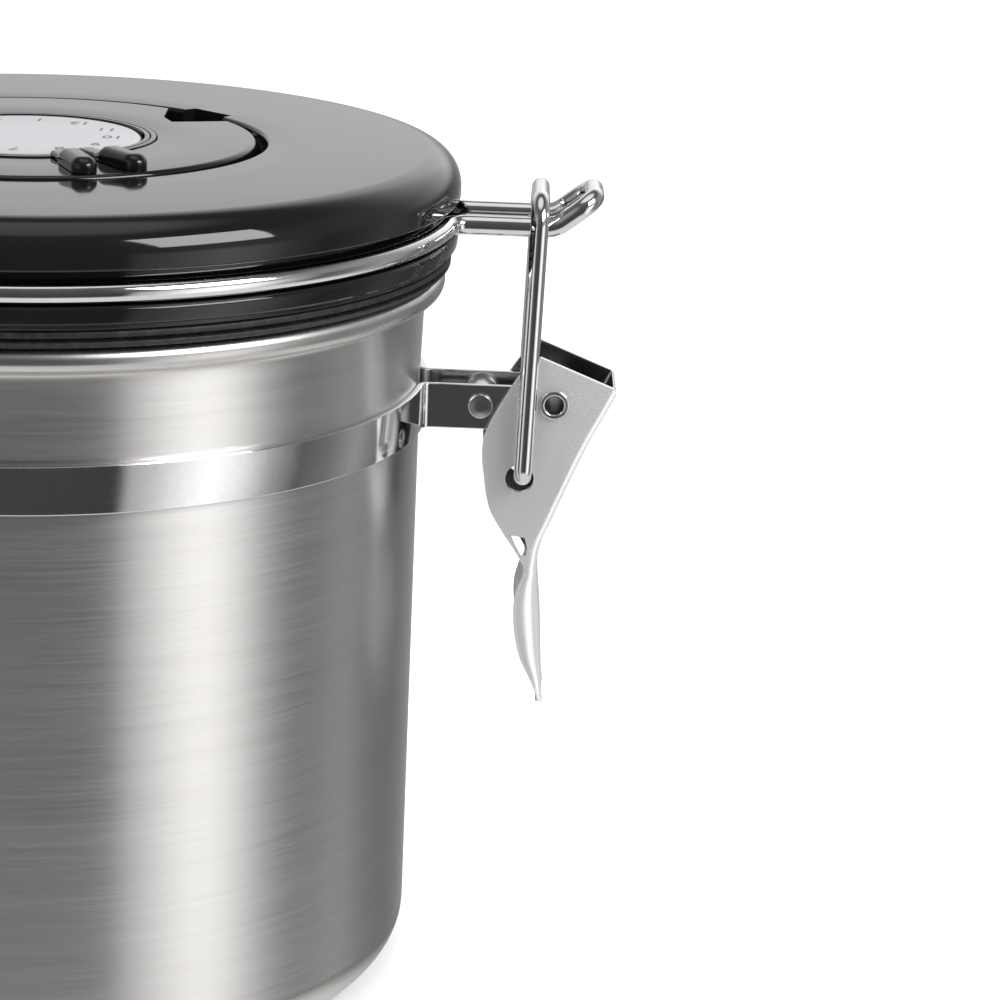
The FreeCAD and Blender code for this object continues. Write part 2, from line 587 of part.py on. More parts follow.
y, ye = S["link_leg_y"], S["link_end_y"]
link_edges = bent_path([(S["link_low_x"], -ye, S["link_low_z"]), (S["link_low_x"], -y, S["link_low_z"]),
                        (S["link_top_x"], -y, S["link_top_z"]), (S["link_top_x"], y, S["link_top_z"]),
                        (S["link_low_x"], y, S["link_low_z"]), (S["link_low_x"], ye, S["link_low_z"])],
                       [S["link_low_bend"], S["link_top_bend"], S["link_top_bend"], S["link_low_bend"]])
link = doc.addObject("Part::Feature", "bail_link")
link.Shape = pipe(link_edges, 0.5 * S["link_wire_d"])
link.Placement = Placement()
link.Label = "bail_link"
keep(link)

# ---------------------------------------------------------------- one-way valve
def drill_ring(body, name, radius, at, count):
    """A ring of equal through holes round the body's own axis."""
    before = body.Tip.Shape.Volume
    prev = body.Tip
    sk = new_sketch(body, name + "_centre", "XY_Plane")
    circle(sk, at, 0, radius)
    hole = body.newObject("PartDesign::Pocket", name)
    hole.Profile = sk
    hole.Type = "ThroughAll"
    hole.SideType = "Symmetric"
    body.Tip = hole
    doc.recompute()
    pat = body.newObject("PartDesign::PolarPattern", name + "_ring")
    pat.Originals = [hole]
    pat.Axis = (sk, ["N_Axis"])
    pat.Angle = 360.0
    pat.Occurrences = count
    body.Tip = pat
    doc.recompute()
    must_shrink(body, before)


seat = turned("valve_seat", [
    ("seat_bore_r", "seat_floor_low"), ("seat_tube_in_r", "seat_floor_low"), ("seat_tube_in_r", "guard_top_z"),
    ("seat_tube_r", "guard_top_z"), ("seat_tube_r", "seat_flange_z"), ("seat_flange_r", "seat_flange_z"),
    ("seat_flange_r", "seat_top_z"), ("seat_bore_r", "seat_top_z")])
drill_ring(seat, "seat_hole", "seat_hole_r", "seat_hole_at", 6)
keep(seat)

flap = turned("valve_flap", [
    (0, "flap_bulb_low"), ("flap_bulb_r", "flap_bulb_low"), ("flap_bulb_r", "flap_bulb_top"),
    ("flap_stem_r", "flap_bulb_top"), ("flap_stem_r", "flap_low_z"), ("flap_r", "flap_low_z"),
    ("flap_r", "flap_top_z"), (0, "flap_dome_z")])
keep(flap)

filt = turned("valve_filter", [
    (0, "filter_low_z"), ("filter_r", "filter_low_z"), ("filter_r", "filter_top_z"), (0, "filter_top_z")])
keep(filt)

guard = turned("filter_guard", [
    (0, "guard_low_z"), ("guard_r", "guard_low_z"), ("guard_r", "guard_top_z"), ("guard_in_r", "guard_top_z"),
    ("guard_in_r", "guard_floor_z"), (0, "guard_floor_z")])
drill_ring(guard, "guard_hole", "guard_hole_r", "guard_hole_at", 8)
drill_ring(guard, "guard_hole_outer", "guard_hole_r", "guard_hole_at2", 14)
keep(guard)

# ---------------------------------------------------------------- date dial in the lid's well
cap = turned("dial_cap", [
    (0, "cap_low_z"), ("cap_foot_r", "cap_low_z"), ("cap_r", "cap_floor_z"), ("cap_r", "cap_top_z"),
    ("cap_bore_r", "cap_top_z"), ("cap_bore_r", "cap_floor_z"), ("pedestal_r", "cap_floor_z"),
    ("pedestal_r", "pedestal_z"), (0, "pedestal_z")])
round_rings(cap, [("cap_r", "cap_top_z")], "cap_edge")
# scoop in the rim of the cap, facing the fingernail notch of the cover
before = cap.Tip.Shape.Volume
ssk = new_sketch(cap, "scoop_outline", "XY_Plane")
scoop = [(30.5, 18.4), (19.0, 15.0), (17.4, 19.0), (17.0, 34.0), (30.5, 34.0)]
for i in range(5):
    a, b = scoop[i], scoop[(i + 1) % 5]
    ssk.addGeometry(Part.LineSegment(Vector(a[0], a[1], 0), Vector(b[0], b[1], 0)), False)
for i in range(5):
    ssk.addConstraint(Sketcher.Constraint("Coincident", i, 2, (i + 1) % 5, 1))
for i in range(5):
    ssk.addConstraint(Sketcher.Constraint("DistanceX", -1, 1, i, 1, scoop[i][0]))
    ssk.addConstraint(Sketcher.Constraint("DistanceY", -1, 1, i, 1, scoop[i][1]))
ssk.AttachmentOffset = Placement(Vector(0, 0, S["cap_top_z"] + 0.5), Rotation())
ssk.setExpression("AttachmentOffset.Base.z", ref("cap_top_z") + " + 0.5")
dip = cap.newObject("PartDesign::Pocket", "nail_scoop")
dip.Profile = ssk
dip.Length = S["scoop_deep"]
dip.setExpression("Length", ref("scoop_deep") + " + 0.5")
cap.Tip = dip
doc.recompute()
must_shrink(cap, before)
keep(cap)

disc = turned("dial_plate", [
    (0, "disc_low_z"), ("disc_r", "disc_low_z"), ("disc_r", "disc_top_z"), (0, "disc_top_z")])
tip = disc.Tip
ch = disc.newObject("PartDesign::Chamfer", "dial_plate_bevel")
ch.Base = (tip, ring_edges(tip.Shape, S["disc_r"], S["disc_top_z"]))
ch.Size = S["disc_edge"]
ch.setExpression("Size", ref("disc_edge"))
disc.Tip = ch
doc.recompute()
keep(disc)


def pointer(label, ring_in, ring_out, angle):
    """A ring round the dial that carries one rounded arm lying over the cap."""
    body = turned(label, [(ring_in, "ring_floor_z"), (ring_out, "ring_floor_z"),
                          (ring_out, "carrier_top_z"), (ring_in, "carrier_top_z")])
    sk = new_sketch(body, label + "_arm_outline", "XY_Plane")
    neck = new_sketch(body, label + "_neck_outline", "XY_Plane")
    n0, n1, nw = S[ring_in] + 0.1, S["arm_start_r"] + 1.0, 0.75 * S["arm_half"]
    box = [(n0, -nw), (n1, -nw), (n1, nw), (n0, nw)]
    for i in range(4):
        a, b = box[i], box[(i + 1) % 4]
        neck.addGeometry(Part.LineSegment(Vector(a[0], a[1], 0), Vector(b[0], b[1], 0)), False)
    for i in range(4):
        neck.addConstraint(Sketcher.Constraint("Coincident", i, 2, (i + 1) % 4, 1))
    neck.AttachmentOffset = Placement(Vector(0, 0, S["arm_under_z"]), Rotation())
    neck.setExpression("AttachmentOffset.Base.z", ref("arm_under_z"))
    low = body.newObject("PartDesign::Pad", label + "_neck")
    low.Profile = neck
    low.Length = S["neck_tall"]
    low.setExpression("Length", ref("neck_tall"))
    body.Tip = low
    doc.recompute()
    x0, x1, hw = S["arm_start_r"], S["arm_tip_r"] - S["arm_half"], S["arm_half"]
    g = [Part.LineSegment(Vector(x0, -hw, 0), Vector(x1, -hw, 0)),
         Part.Arc(Vector(x1, -hw, 0), Vector(x1 + hw, 0, 0), Vector(x1, hw, 0)),
         Part.LineSegment(Vector(x1, hw, 0), Vector(x0, hw, 0)),
         Part.LineSegment(Vector(x0, hw, 0), Vector(x0, -hw, 0))]
    for e in g:
        sk.addGeometry(e, False)
    sk.addConstraint(Sketcher.Constraint("Coincident", 0, 2, 1, 1))
    sk.addConstraint(Sketcher.Constraint("Coincident", 1, 2, 2, 1))
    sk.addConstraint(Sketcher.Constraint("Coincident", 2, 2, 3, 1))
    sk.addConstraint(Sketcher.Constraint("Coincident", 3, 2, 0, 1))
    sk.AttachmentOffset = Placement(Vector(0, 0, S["arm_under_z"]), Rotation())
    sk.setExpression("AttachmentOffset.Base.z", ref("arm_under_z"))
    pad = body.newObject("PartDesign::Pad", label + "_arm")
    pad.Profile = sk
    pad.Length = S["arm_over_z"] - S["arm_under_z"]
    pad.setExpression("Length", "%s - %s" % (ref("arm_over_z"), ref("arm_under_z")))
    body.Tip = pad
    doc.recompute()
    z1 = S["arm_over_z"]
    round_where(body, lambda e: all(abs(v.Z - z1) < 1e-4 for v in e.Vertexes), "arm_soft")
    body.Placement = Placement(Vector(0, 0, 0), Rotation(Vector(0, 0, 1), S[angle]))
    body.setExpression("Placement.Rotation.Angle", ref(angle))
    body.Placement = Placement(Vector(0, 0, 0), Rotation(Vector(0, 0, 1), S[angle]))
    return body


keep(pointer("month_pointer", "outer_ring_in", "outer_ring_out", "month_angle"))
keep(pointer("day_pointer", "inner_ring_in", "inner_ring_out", "day_angle"))

# ---------------------------------------------------------------- latch lever
# U-channel pressed from 1 mm sheet: two cheeks joined by a web on the outer side,
# narrowing to a waist and opening again into a thumb tab.
LEVER_FRONT = [(85.9, 89.3), (82.0, 81.6), (78.0, 72.3), (75.7, 66.6), (75.0, 64.1), (75.0, 61.8), (75.6, 56.6),
               (76.0, 51.1), (76.6, 41.0)]
LEVER_BACK = [(75.7, 41.2), (75.3, 43.9), (74.3, 45.8), (73.2, 48.0), (72.3, 51.2), (71.9, 54.9), (71.9, 57.6),
              (73.1, 61.8), (72.0, 64.3), (70.5, 66.6), (68.7, 69.3), (67.75, 70.9), (66.9, 76.1), (66.4, 80.0),
              (66.5, 81.5), (67.5, 84.2), (69.5, 87.8), (71.8, 91.6), (73.0, 93.2), (74.4, 93.9), (76.0, 93.8)]


def free_polygon(sk, pts):
    n = len(pts)
    for i in range(n):
        a, b = pts[i], pts[(i + 1) % n]
        sk.addGeometry(Part.LineSegment(Vector(a[0], a[1], 0), Vector(b[0], b[1], 0)), False)
    for i in range(n):
        sk.addConstraint(Sketcher.Constraint("Coincident", i, 2, (i + 1) % n, 1))
    for i in range(n):
        sk.addConstraint(Sketcher.Constraint("DistanceX", -1, 1, i, 1, pts[i][0]))
        sk.addConstraint(Sketcher.Constraint("DistanceY", -1, 1, i, 1, pts[i][1]))


def shifted(pts, d):
    """The same polyline moved sideways by d, to its left-hand side."""
    out = []
    for i, p in enumerate(pts):
        ns = []
        for q0, q1 in ((i - 1, i), (i, i + 1)):
            if 0 <= q0 and q1 < len(pts):
                dx, dz = pts[q1][0] - pts[q0][0], pts[q1][1] - pts[q0][1]
                k = math.hypot(dx, dz)
                ns.append((dz / k, -dx / k))
        if len(ns) == 1:
            out.append((p[0] + ns[0][0] * d, p[1] + ns[0][1] * d))
        else:
            mx, mz = ns[0][0] + ns[1][0], ns[0][1] + ns[1][1]
            k = mx * ns[0][0] + mz * ns[0][1]
            out.append((p[0] + mx * d / k, p[1] + mz * d / k))
    return out


lever = doc.addObject("PartDesign::Body", "latch_lever")
lever.Label = "latch_lever"
lsk = new_sketch(lever, "lever_outline")
free_polygon(lsk, LEVER_FRONT + LEVER_BACK)
blank = lever.newObject("PartDesign::Pad", "lever_blank")
blank.Profile = lsk
blank.SideType = "Symmetric"
blank.Length = 2 * S["lever_half"]
blank.setExpression("Length", "2 * " + ref("lever_half"))
lever.Tip = blank
doc.recompute()
before = lever.Tip.Shape.Volume
csk = new_sketch(lever, "lever_channel")
inside = shifted(LEVER_FRONT, S["lever_sheet"])
top = (inside[0][0] + 1.6, inside[0][1] + 3.4)
free_polygon(csk, [top] + inside[:-1] + [(inside[-1][0], 38.0), (60.0, 38.0), (60.0, 98.0), (top[0], 98.0)])
hollow = lever.newObject("PartDesign::Pocket", "lever_hollow")
hollow.Profile = csk
hollow.SideType = "Symmetric"
hollow.Length = 2 * S["lever_in_half"]
hollow.setExpression("Length", "2 * " + ref("lever_in_half"))
lever.Tip = hollow
doc.recompute()
must_shrink(lever, before)
for name, x, z, r in (("pivot_hole", "pivot_x", "pivot_z", "pivot_hole_r"),
                      ("link_hole", "link_hole_x", "link_hole_z", "link_hole_r")):
    before = lever.Tip.Shape.Volume
    hsk = new_sketch(lever, name + "_centre")
    circle(hsk, x, z, r)
    bore = lever.newObject("PartDesign::Pocket", name)
    bore.Profile = hsk
    bore.SideType = "Symmetric"
    bore.Type = "ThroughAll"
    lever.Tip = bore
    doc.recompute()
    must_shrink(lever, before)
# the outside corners where the cheeks turn into the web are bend rounds
hw = S["lever_half"]
front = [(round(a[0], 3), round(a[1], 3)) for a in LEVER_FRONT]


def is_bend(e):
    if len(e.Vertexes) != 2:
        return False
    p, q = e.Vertexes[0].Point, e.Vertexes[1].Point
    if abs(abs(p.y) - hw) > 1e-4 or abs(abs(q.y) - hw) > 1e-4 or p.y * q.y < 0:
        return False
    return (round(p.x, 3), round(p.z, 3)) in front and (round(q.x, 3), round(q.z, 3)) in front


bend_tip = lever.Tip
names = ["Edge%d" % i for i, e in enumerate(bend_tip.Shape.Edges, 1) if is_bend(e)]
bend = lever.newObject("PartDesign::Fillet", "lever_bends")
bend.Base = (bend_tip, names)
bend.Radius = 0.9
lever.Tip = bend
doc.recompute()
keep(lever)

# ---------------------------------------------------------------- check and write
doc.recompute()
bad = []
for obj in doc.Objects:
    if "Invalid" in obj.State or "Error" in obj.State:
        bad.append("%s is %s" % (obj.Name, obj.State))
for obj in nodes:
    if obj.Shape.isNull() or not obj.Shape.isValid() or not obj.Shape.Solids:
        bad.append("%s has no valid solid" % obj.Label)
if bad:
    raise RuntimeError("; ".join(bad))
os.makedirs("parts", exist_ok=True)
for obj in nodes:
    obj.Shape.exportStep("parts/%s.step" % obj.Label)
    bb = obj.Shape.BoundBox
    print("%-18s %d solid(s) %9.1f mm3  x %.2f..%.2f y %.2f..%.2f z %.2f..%.2f" % (
        obj.Label, len(obj.Shape.Solids), obj.Shape.Volume, bb.XMin, bb.XMax, bb.YMin, bb.YMax, bb.ZMin, bb.ZMax))
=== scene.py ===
import bpy
import bmesh
import math
from mathutils import Vector, Matrix


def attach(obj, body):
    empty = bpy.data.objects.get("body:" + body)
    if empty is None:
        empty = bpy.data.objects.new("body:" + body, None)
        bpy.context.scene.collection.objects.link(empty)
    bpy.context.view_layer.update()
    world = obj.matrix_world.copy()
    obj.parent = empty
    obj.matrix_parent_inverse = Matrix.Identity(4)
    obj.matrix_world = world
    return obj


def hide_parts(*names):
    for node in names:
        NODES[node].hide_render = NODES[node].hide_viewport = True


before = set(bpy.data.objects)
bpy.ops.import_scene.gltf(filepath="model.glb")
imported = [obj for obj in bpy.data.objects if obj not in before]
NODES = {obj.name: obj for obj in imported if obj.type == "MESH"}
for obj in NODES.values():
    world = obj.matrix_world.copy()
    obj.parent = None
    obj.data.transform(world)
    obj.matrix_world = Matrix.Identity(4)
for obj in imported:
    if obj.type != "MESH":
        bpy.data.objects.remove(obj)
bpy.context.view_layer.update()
MM = 0.001
scene = bpy.context.scene


# ------------------------------------------------------------------ mesh helpers
def link(obj):
    scene.collection.objects.link(obj)
    return obj


def mesh_object(name, verts, faces, smooth=True, sharp=None):
    me = bpy.data.meshes.new(name)
    me.from_pydata([tuple(v) for v in verts], [], faces)
    me.validate(clean_customdata=False)
    me.update()
    obj = link(bpy.data.objects.new(name, me))
    if smooth:
        for p in me.polygons:
            p.use_smooth = True
    return obj


def shade(obj, degrees=32):
    """Smooth shading with hard edges kept above the given angle."""
    me = obj.data
    bm = bmesh.new()
    bm.from_mesh(me)
    lim = math.radians(degrees)
    for f in bm.faces:
        f.smooth = True
    for e in bm.edges:
        if len(e.link_faces) == 2:
            e.smooth = e.calc_face_angle(0.0) < lim
        else:
            e.smooth = True
    bm.to_mesh(me)
    bm.free()
    return obj


def apply_all(obj):
    """Turn the object's modifiers into plain mesh."""
    dg = bpy.context.evaluated_depsgraph_get()
    ev = obj.evaluated_get(dg)
    me = bpy.data.meshes.new_from_object(ev, depsgraph=dg)
    old = obj.data
    obj.modifiers.clear()
    obj.data = me
    me.name = obj.name
    if old.users == 0:
        bpy.data.meshes.remove(old)
    return obj


def arc_pts(cx, cz, r, a0, a1, n):
    return [(cx + r * math.cos(math.radians(a0 + (a1 - a0) * i / n)),
             cz + r * math.sin(math.radians(a0 + (a1 - a0) * i / n))) for i in range(n + 1)]


def rounded(pts, radii, n=8, closed=False):
    """A polyline with tangent arcs in place of its corners; radii has one value per point (0 keeps it)."""
    out = []
    m = len(pts)
    for i, p in enumerate(pts):
        r = radii[i]
        if r <= 0 or (not closed and i in (0, m - 1)):
            out.append(tuple(p))
            continue
        a = Vector(pts[(i - 1) % m]) - Vector(p)
        b = Vector(pts[(i + 1) % m]) - Vector(p)
        la, lb = a.length, b.length
        a.normalize()
        b.normalize()
        ang = a.angle(b)
        half = 0.5 * ang
        cut = min(r / math.tan(half), 0.499 * la, 0.499 * lb)
        r = cut * math.tan(half)
        s, e = Vector(p) + a * cut, Vector(p) + b * cut
        mid = (a + b).normalized()
        c = Vector(p) + mid * (r / math.sin(half))
        u = (s - c) / r
        w = (e - c) / r
        tot = u.angle(w)
        for k in range(n + 1):
            t = k / n
            q = c + (u * math.sin((1 - t) * tot) + w * math.sin(t * tot)) * (r / math.sin(tot))
            out.append(tuple(q))
    return out


def lathe(name, prof, seg=256, axis="Z", centre=(0, 0, 0), flip=False):
    """Closed solid of revolution from an outline of (radius, height) in millimetres; zero radii make poles."""
    verts, faces = [], []
    rows = []
    for r, h in prof:
        if r < 1e-6:
            rows.append([len(verts)])
            verts.append((0.0, 0.0, h))
        else:
            row = []
            for k in range(seg):
                a = 2 * math.pi * k / seg
                row.append(len(verts))
                verts.append((r * math.cos(a), r * math.sin(a), h))
            rows.append(row)
    m = len(rows)
    for i in range(m):
        a, b = rows[i], rows[(i + 1) % m]
        if len(a) == 1 and len(b) == 1:
            continue
        for k in range(seg):
            k2 = (k + 1) % seg
            if len(a) == 1:
                faces.append((a[0], b[k2], b[k]))
            elif len(b) == 1:
                faces.append((a[k], a[k2], b[0]))
            else:
                faces.append((a[k], a[k2], b[k2], b[k]))
    if axis == "Y":
        verts = [(x, z, -y) for x, y, z in verts]
        verts = [(x, y, z) for x, y, z in verts]
    if axis == "X":
        verts = [(z, y, -x) for x, y, z in verts]
    verts = [((x + centre[0]) * MM, (y + centre[1]) * MM, (z + centre[2]) * MM) for x, y, z in verts]
    obj = mesh_object(name, verts, faces)
    fix_normals(obj)
    return shade(obj, 30)


def fix_normals(obj):
    bm = bmesh.new()
    bm.from_mesh(obj.data)
    bmesh.ops.recalc_face_normals(bm, faces=bm.faces)
    vol = bm.calc_volume(signed=True)
    if vol < 0:
        bmesh.ops.reverse_faces(bm, faces=bm.faces)
    bm.to_mesh(obj.data)
    bm.free()


def frames_along(path, closed):
    """Parallel-transported frames along a 3-D polyline."""
    n = len(path)
    tang = []
    for i in range(n):
        if closed:
            t = path[(i + 1) % n] - path[i - 1]
        else:
            t = path[min(i + 1, n - 1)] - path[max(i - 1, 0)]
        tang.append(t.normalized())
    ref = Vector((0, 0, 1)) if abs(tang[0].z) < 0.8 else Vector((1, 0, 0))
    u = (ref - tang[0] * ref.dot(tang[0])).normalized()
    us = [u]
    for i in range(1, n):
        rot = tang[i - 1].rotation_difference(tang[i])
        u = rot @ u
        u = (u - tang[i] * u.dot(tang[i])).normalized()
        us.append(u)
    if closed:
        rot = tang[-1].rotation_difference(tang[0])
        last = rot @ us[-1]
        ang = last.angle(us[0])
        if last.cross(us[0]).dot(tang[0]) < 0:
            ang = -ang
        for i in range(n):
            us[i] = Matrix.Rotation(ang * i / n, 3, tang[i]) @ us[i]
    return tang, us


def rod(name, path, radius, closed=False, seg=40, dome=True, wobble=0.0):
    """A round wire of constant diameter along a path given in millimetres, with rounded cut ends."""
    path = [Vector(p) for p in path]
    clean = [path[0]]
    for p in path[1:]:
        if (p - clean[-1]).length > 1e-4:
            clean.append(p)
    if closed and (clean[0] - clean[-1]).length < 1e-4:
        clean.pop()
    path = clean
    tang, us = frames_along(path, closed)
    verts, faces, rings = [], [], []

    def ring(c, t, u, r):
        v = t.cross(u)
        idx = []
        for k in range(seg):
            a = 2 * math.pi * k / seg
            idx.append(len(verts))
            verts.append(c + u * (r * math.cos(a)) + v * (r * math.sin(a)))
        rings.append(idx)
    if not closed and dome:
        e = 0.35 * radius
        for k in range(5):
            a = 0.5 * math.pi * k / 5
            ring(path[0] + tang[0] * (e * (1 - math.sin(a))), tang[0], us[0], radius - e + e * math.sin(a) if k else radius - e)
        start = 1
        while (path[start] - path[0]).length < e:
            start += 1
        body = list(range(start, len(path) - 1))
        stop = len(path) - 1
        while (path[-1] - path[body[-1]]).length < e:
            body.pop()
        for i in body:
            ring(path[i], tang[i], us[i], radius)
        for k in range(4, -1, -1):
            a = 0.5 * math.pi * k / 5
            ring(path[-1] - tang[-1] * (e * (1 - math.sin(a))), tang[-1], us[-1], radius - e + e * math.sin(a) if k else radius - e)
    else:
        for c, t, u in zip(path, tang, us):
            ring(c, t, u, radius)
    m = len(rings)
    for i in range(m if closed else m - 1):
        a, b = rings[i], rings[(i + 1) % m]
        for k in range(seg):
            k2 = (k + 1) % seg
            faces.append((a[k], a[k2], b[k2], b[k]))
    if not closed:
        faces.append(tuple(reversed(rings[0])))
        faces.append(tuple(rings[-1]))
    obj = mesh_object(name, [v * MM for v in verts], faces)
    fix_normals(obj)
    return shade(obj, 40)


def bent(points, radii, n=14):
    """3-D polyline with arcs at its inner corners."""
    pts = rounded([Vector(p) for p in points], [0] + list(radii) + [0], n)
    return [Vector(p) for p in pts]


def resample(path, step, closed=False):
    out = []
    n = len(path)
    for i in range(n if closed else n - 1):
        a, b = path[i], path[(i + 1) % n]
        d = (b - a).length
        k = max(1, int(round(d / step)))
        for j in range(k):
            out.append(a.lerp(b, j / k))
    if not closed:
        out.append(path[-1])
    return out


def cutter_cylinder(name, radius, length, centre, axis="Y", seg=72):
    verts, faces = [], []
    for s in (-0.5, 0.5):
        for k in range(seg):
            a = 2 * math.pi * k / seg
            p = (radius * math.cos(a), radius * math.sin(a), s * length)
            if axis == "Y":
                p = (p[0], p[2], p[1])
            elif axis == "X":
                p = (p[2], p[0], p[1])
            verts.append(((p[0] + centre[0]) * MM, (p[1] + centre[1]) * MM, (p[2] + centre[2]) * MM))
    for k in range(seg):
        k2 = (k + 1) % seg
        faces.append((k, k2, seg + k2, seg + k))
    faces.append(tuple(range(seg - 1, -1, -1)))
    faces.append(tuple(range(seg, 2 * seg)))
    obj = mesh_object(name, verts, faces, smooth=False)
    fix_normals(obj)
    return obj


def prism(name, pts, y0, y1, plane="XZ"):
    """Closed prism cutter from an outline in millimetres."""
    n = len(pts)
    verts = []
    for y in (y0, y1):
        for a, b in pts:
            if plane == "XZ":
                verts.append((a * MM, y * MM, b * MM))
            else:
                verts.append((a * MM, b * MM, y * MM))
    faces = [(k, (k + 1) % n, n + (k + 1) % n, n + k) for k in range(n)]
    faces.append(tuple(range(n - 1, -1, -1)))
    faces.append(tuple(range(n, 2 * n)))
    obj = mesh_object(name, verts, faces, smooth=False)
    fix_normals(obj)
    return obj


def cut(obj, cutters):
    for c in cutters:
        m = obj.modifiers.new("cut", "BOOLEAN")
        m.operation = "DIFFERENCE"
        m.solver = "EXACT"
        m.object = c
    apply_all(obj)
    for c in cutters:
        me = c.data
        bpy.data.objects.remove(c)
        bpy.data.meshes.remove(me)
    return obj


def bevel(obj, width, seg=3, angle=35):
    m = obj.modifiers.new("edge", "BEVEL")
    m.width = width * MM
    m.segments = seg
    m.limit_method = "ANGLE"
    m.angle_limit = math.radians(angle)
    m.use_clamp_overlap = True
    m.harden_normals = False
    apply_all(obj)
    return obj


# ------------------------------------------------------------------ node helpers
class Mat:
    def __init__(self, name):
        self.m = bpy.data.materials.new(name)
        self.m.use_nodes = True
        self.t = self.m.node_tree
        self.t.nodes.clear()
        self.out = self.t.nodes.new("ShaderNodeOutputMaterial")
        self.p = self.t.nodes.new("ShaderNodeBsdfPrincipled")
        self.t.links.new(self.p.outputs["BSDF"], self.out.inputs["Surface"])

    def node(self, kind, **kw):
        n = self.t.nodes.new(kind)
        for k, v in kw.items():
            setattr(n, k, v)
        return n

    def link(self, a, b):
        self.t.links.new(a, b)

    def val(self, key, v):
        self.p.inputs[key].default_value = v

    def math(self, op, a, b=None, c=None):
        n = self.node("ShaderNodeMath", operation=op)
        for i, x in enumerate((a, b, c)):
            if x is None:
                continue
            if isinstance(x, (int, float)):
                n.inputs[i].default_value = x
            else:
                self.link(x, n.inputs[i])
        return n.outputs[0]

    def coords(self):
        return self.node("ShaderNodeTexCoord").outputs["Object"]

    def split(self, v):
        n = self.node("ShaderNodeSeparateXYZ")
        self.link(v, n.inputs[0])
        return n.outputs

    def join(self, x, y, z):
        n = self.node("ShaderNodeCombineXYZ")
        for i, a in enumerate((x, y, z)):
            if isinstance(a, (int, float)):
                n.inputs[i].default_value = a
            else:
                self.link(a, n.inputs[i])
        return n.outputs[0]

    def scaled(self, v, s):
        n = self.node("ShaderNodeMapping")
        n.inputs["Scale"].default_value = s
        self.link(v, n.inputs["Vector"])
        return n.outputs[0]

    def noise(self, vec, scale, detail=3.0, rough=0.55, distort=0.0):
        n = self.node("ShaderNodeTexNoise")
        n.inputs["Scale"].default_value = scale
        n.inputs["Detail"].default_value = detail
        n.inputs["Roughness"].default_value = rough
        n.inputs["Distortion"].default_value = distort
        self.link(vec, n.inputs["Vector"])
        return n.outputs["Fac"]

    def remap(self, f, a, b, lo=0.0, hi=1.0):
        n = self.node("ShaderNodeMapRange")
        n.inputs["From Min"].default_value = lo
        n.inputs["From Max"].default_value = hi
        n.inputs["To Min"].default_value = a
        n.inputs["To Max"].default_value = b
        self.link(f, n.inputs["Value"])
        return n.outputs["Result"]

    def ramp(self, f, stops):
        n = self.node("ShaderNodeValToRGB")
        r = n.color_ramp
        while len(r.elements) > 1:
            r.elements.remove(r.elements[-1])
        r.elements[0].position = stops[0][0]
        r.elements[0].color = (*stops[0][1], 1)
        for pos, col in stops[1:]:
            e = r.elements.new(pos)
            e.color = (*col, 1)
        self.link(f, n.inputs["Fac"])
        return n.outputs["Color"]

    def mix(self, f, a, b):
        n = self.node("ShaderNodeMix", data_type="RGBA")
        if isinstance(f, (int, float)):
            n.inputs["Factor"].default_value = f
        else:
            self.link(f, n.inputs["Factor"])
        for key, x in (("A", a), ("B", b)):
            sock = [s for s in n.inputs if s.name == key and s.type == "RGBA"][0]
            if isinstance(x, tuple):
                sock.default_value = (*x, 1)
            else:
                self.link(x, sock)
        return [s for s in n.outputs if s.type == "RGBA"][0]

    def bump(self, f, strength, dist, normal=None):
        n = self.node("ShaderNodeBump")
        n.inputs["Strength"].default_value = strength
        n.inputs["Distance"].default_value = dist
        self.link(f, n.inputs["Height"])
        if normal is not None:
            self.link(normal, n.inputs["Normal"])
        self.link(n.outputs["Normal"], self.p.inputs["Normal"])
        return n.outputs["Normal"]

    def colour(self, c):
        if isinstance(c, tuple):
            self.p.inputs["Base Color"].default_value = (*c, 1)
        else:
            self.link(c, self.p.inputs["Base Color"])

    def rough(self, r):
        if isinstance(r, (int, float)):
            self.p.inputs["Roughness"].default_value = r
        else:
            self.link(r, self.p.inputs["Roughness"])


def round_coords(m, around=3.0, up=900.0, out=60.0):
    """Coordinates that run slowly round the can and fast up it, so that noise becomes brush lines."""
    x, y, z = m.split(m.coords())
    ang = m.math("ARCTAN2", y, x)
    rad = m.math("SQRT", m.math("ADD", m.math("MULTIPLY", x, x), m.math("MULTIPLY", y, y)))
    # cos and sin of the angle avoid a seam where the angle wraps
    cx = m.math("MULTIPLY", m.math("COSINE", ang), around)
    cy = m.math("MULTIPLY", m.math("SINE", ang), around)
    return m.join(cx, cy, m.math("ADD", m.math("MULTIPLY", z, up), m.math("MULTIPLY", rad, out)))


def brushed_steel():
    m = Mat("steel_brushed_can")
    v = round_coords(m, 3.2, 2600.0, 2600.0)
    fine = m.noise(v, 1.0, 4.0, 0.6)
    v2 = round_coords(m, 1.4, 700.0, 700.0)
    coarse = m.noise(v2, 1.0, 3.0, 0.5)
    cloud = m.noise(m.coords(), 16.0, 3.0, 0.5)
    both = m.math("ADD", m.math("MULTIPLY", fine, 0.65), m.math("MULTIPLY", coarse, 0.35))
    tone = m.math("ADD", m.math("MULTIPLY", both, 0.8), m.math("MULTIPLY", cloud, 0.2))
    m.colour(m.ramp(tone, [(0.25, (0.63, 0.615, 0.60)), (0.5, (0.69, 0.675, 0.66)), (0.75, (0.74, 0.73, 0.715))]))
    m.rough(m.remap(both, 0.27, 0.35, 0.3, 0.7))
    m.val("Metallic", 1.0)
    m.val("Anisotropic", 0.78)
    m.val("Anisotropic Rotation", 0.25)
    tg = m.node("ShaderNodeTangent", direction_type="RADIAL", axis="Z")
    m.link(tg.outputs[0], m.p.inputs["Tangent"])
    m.bump(both, 0.035, 0.00005)
    return m.m


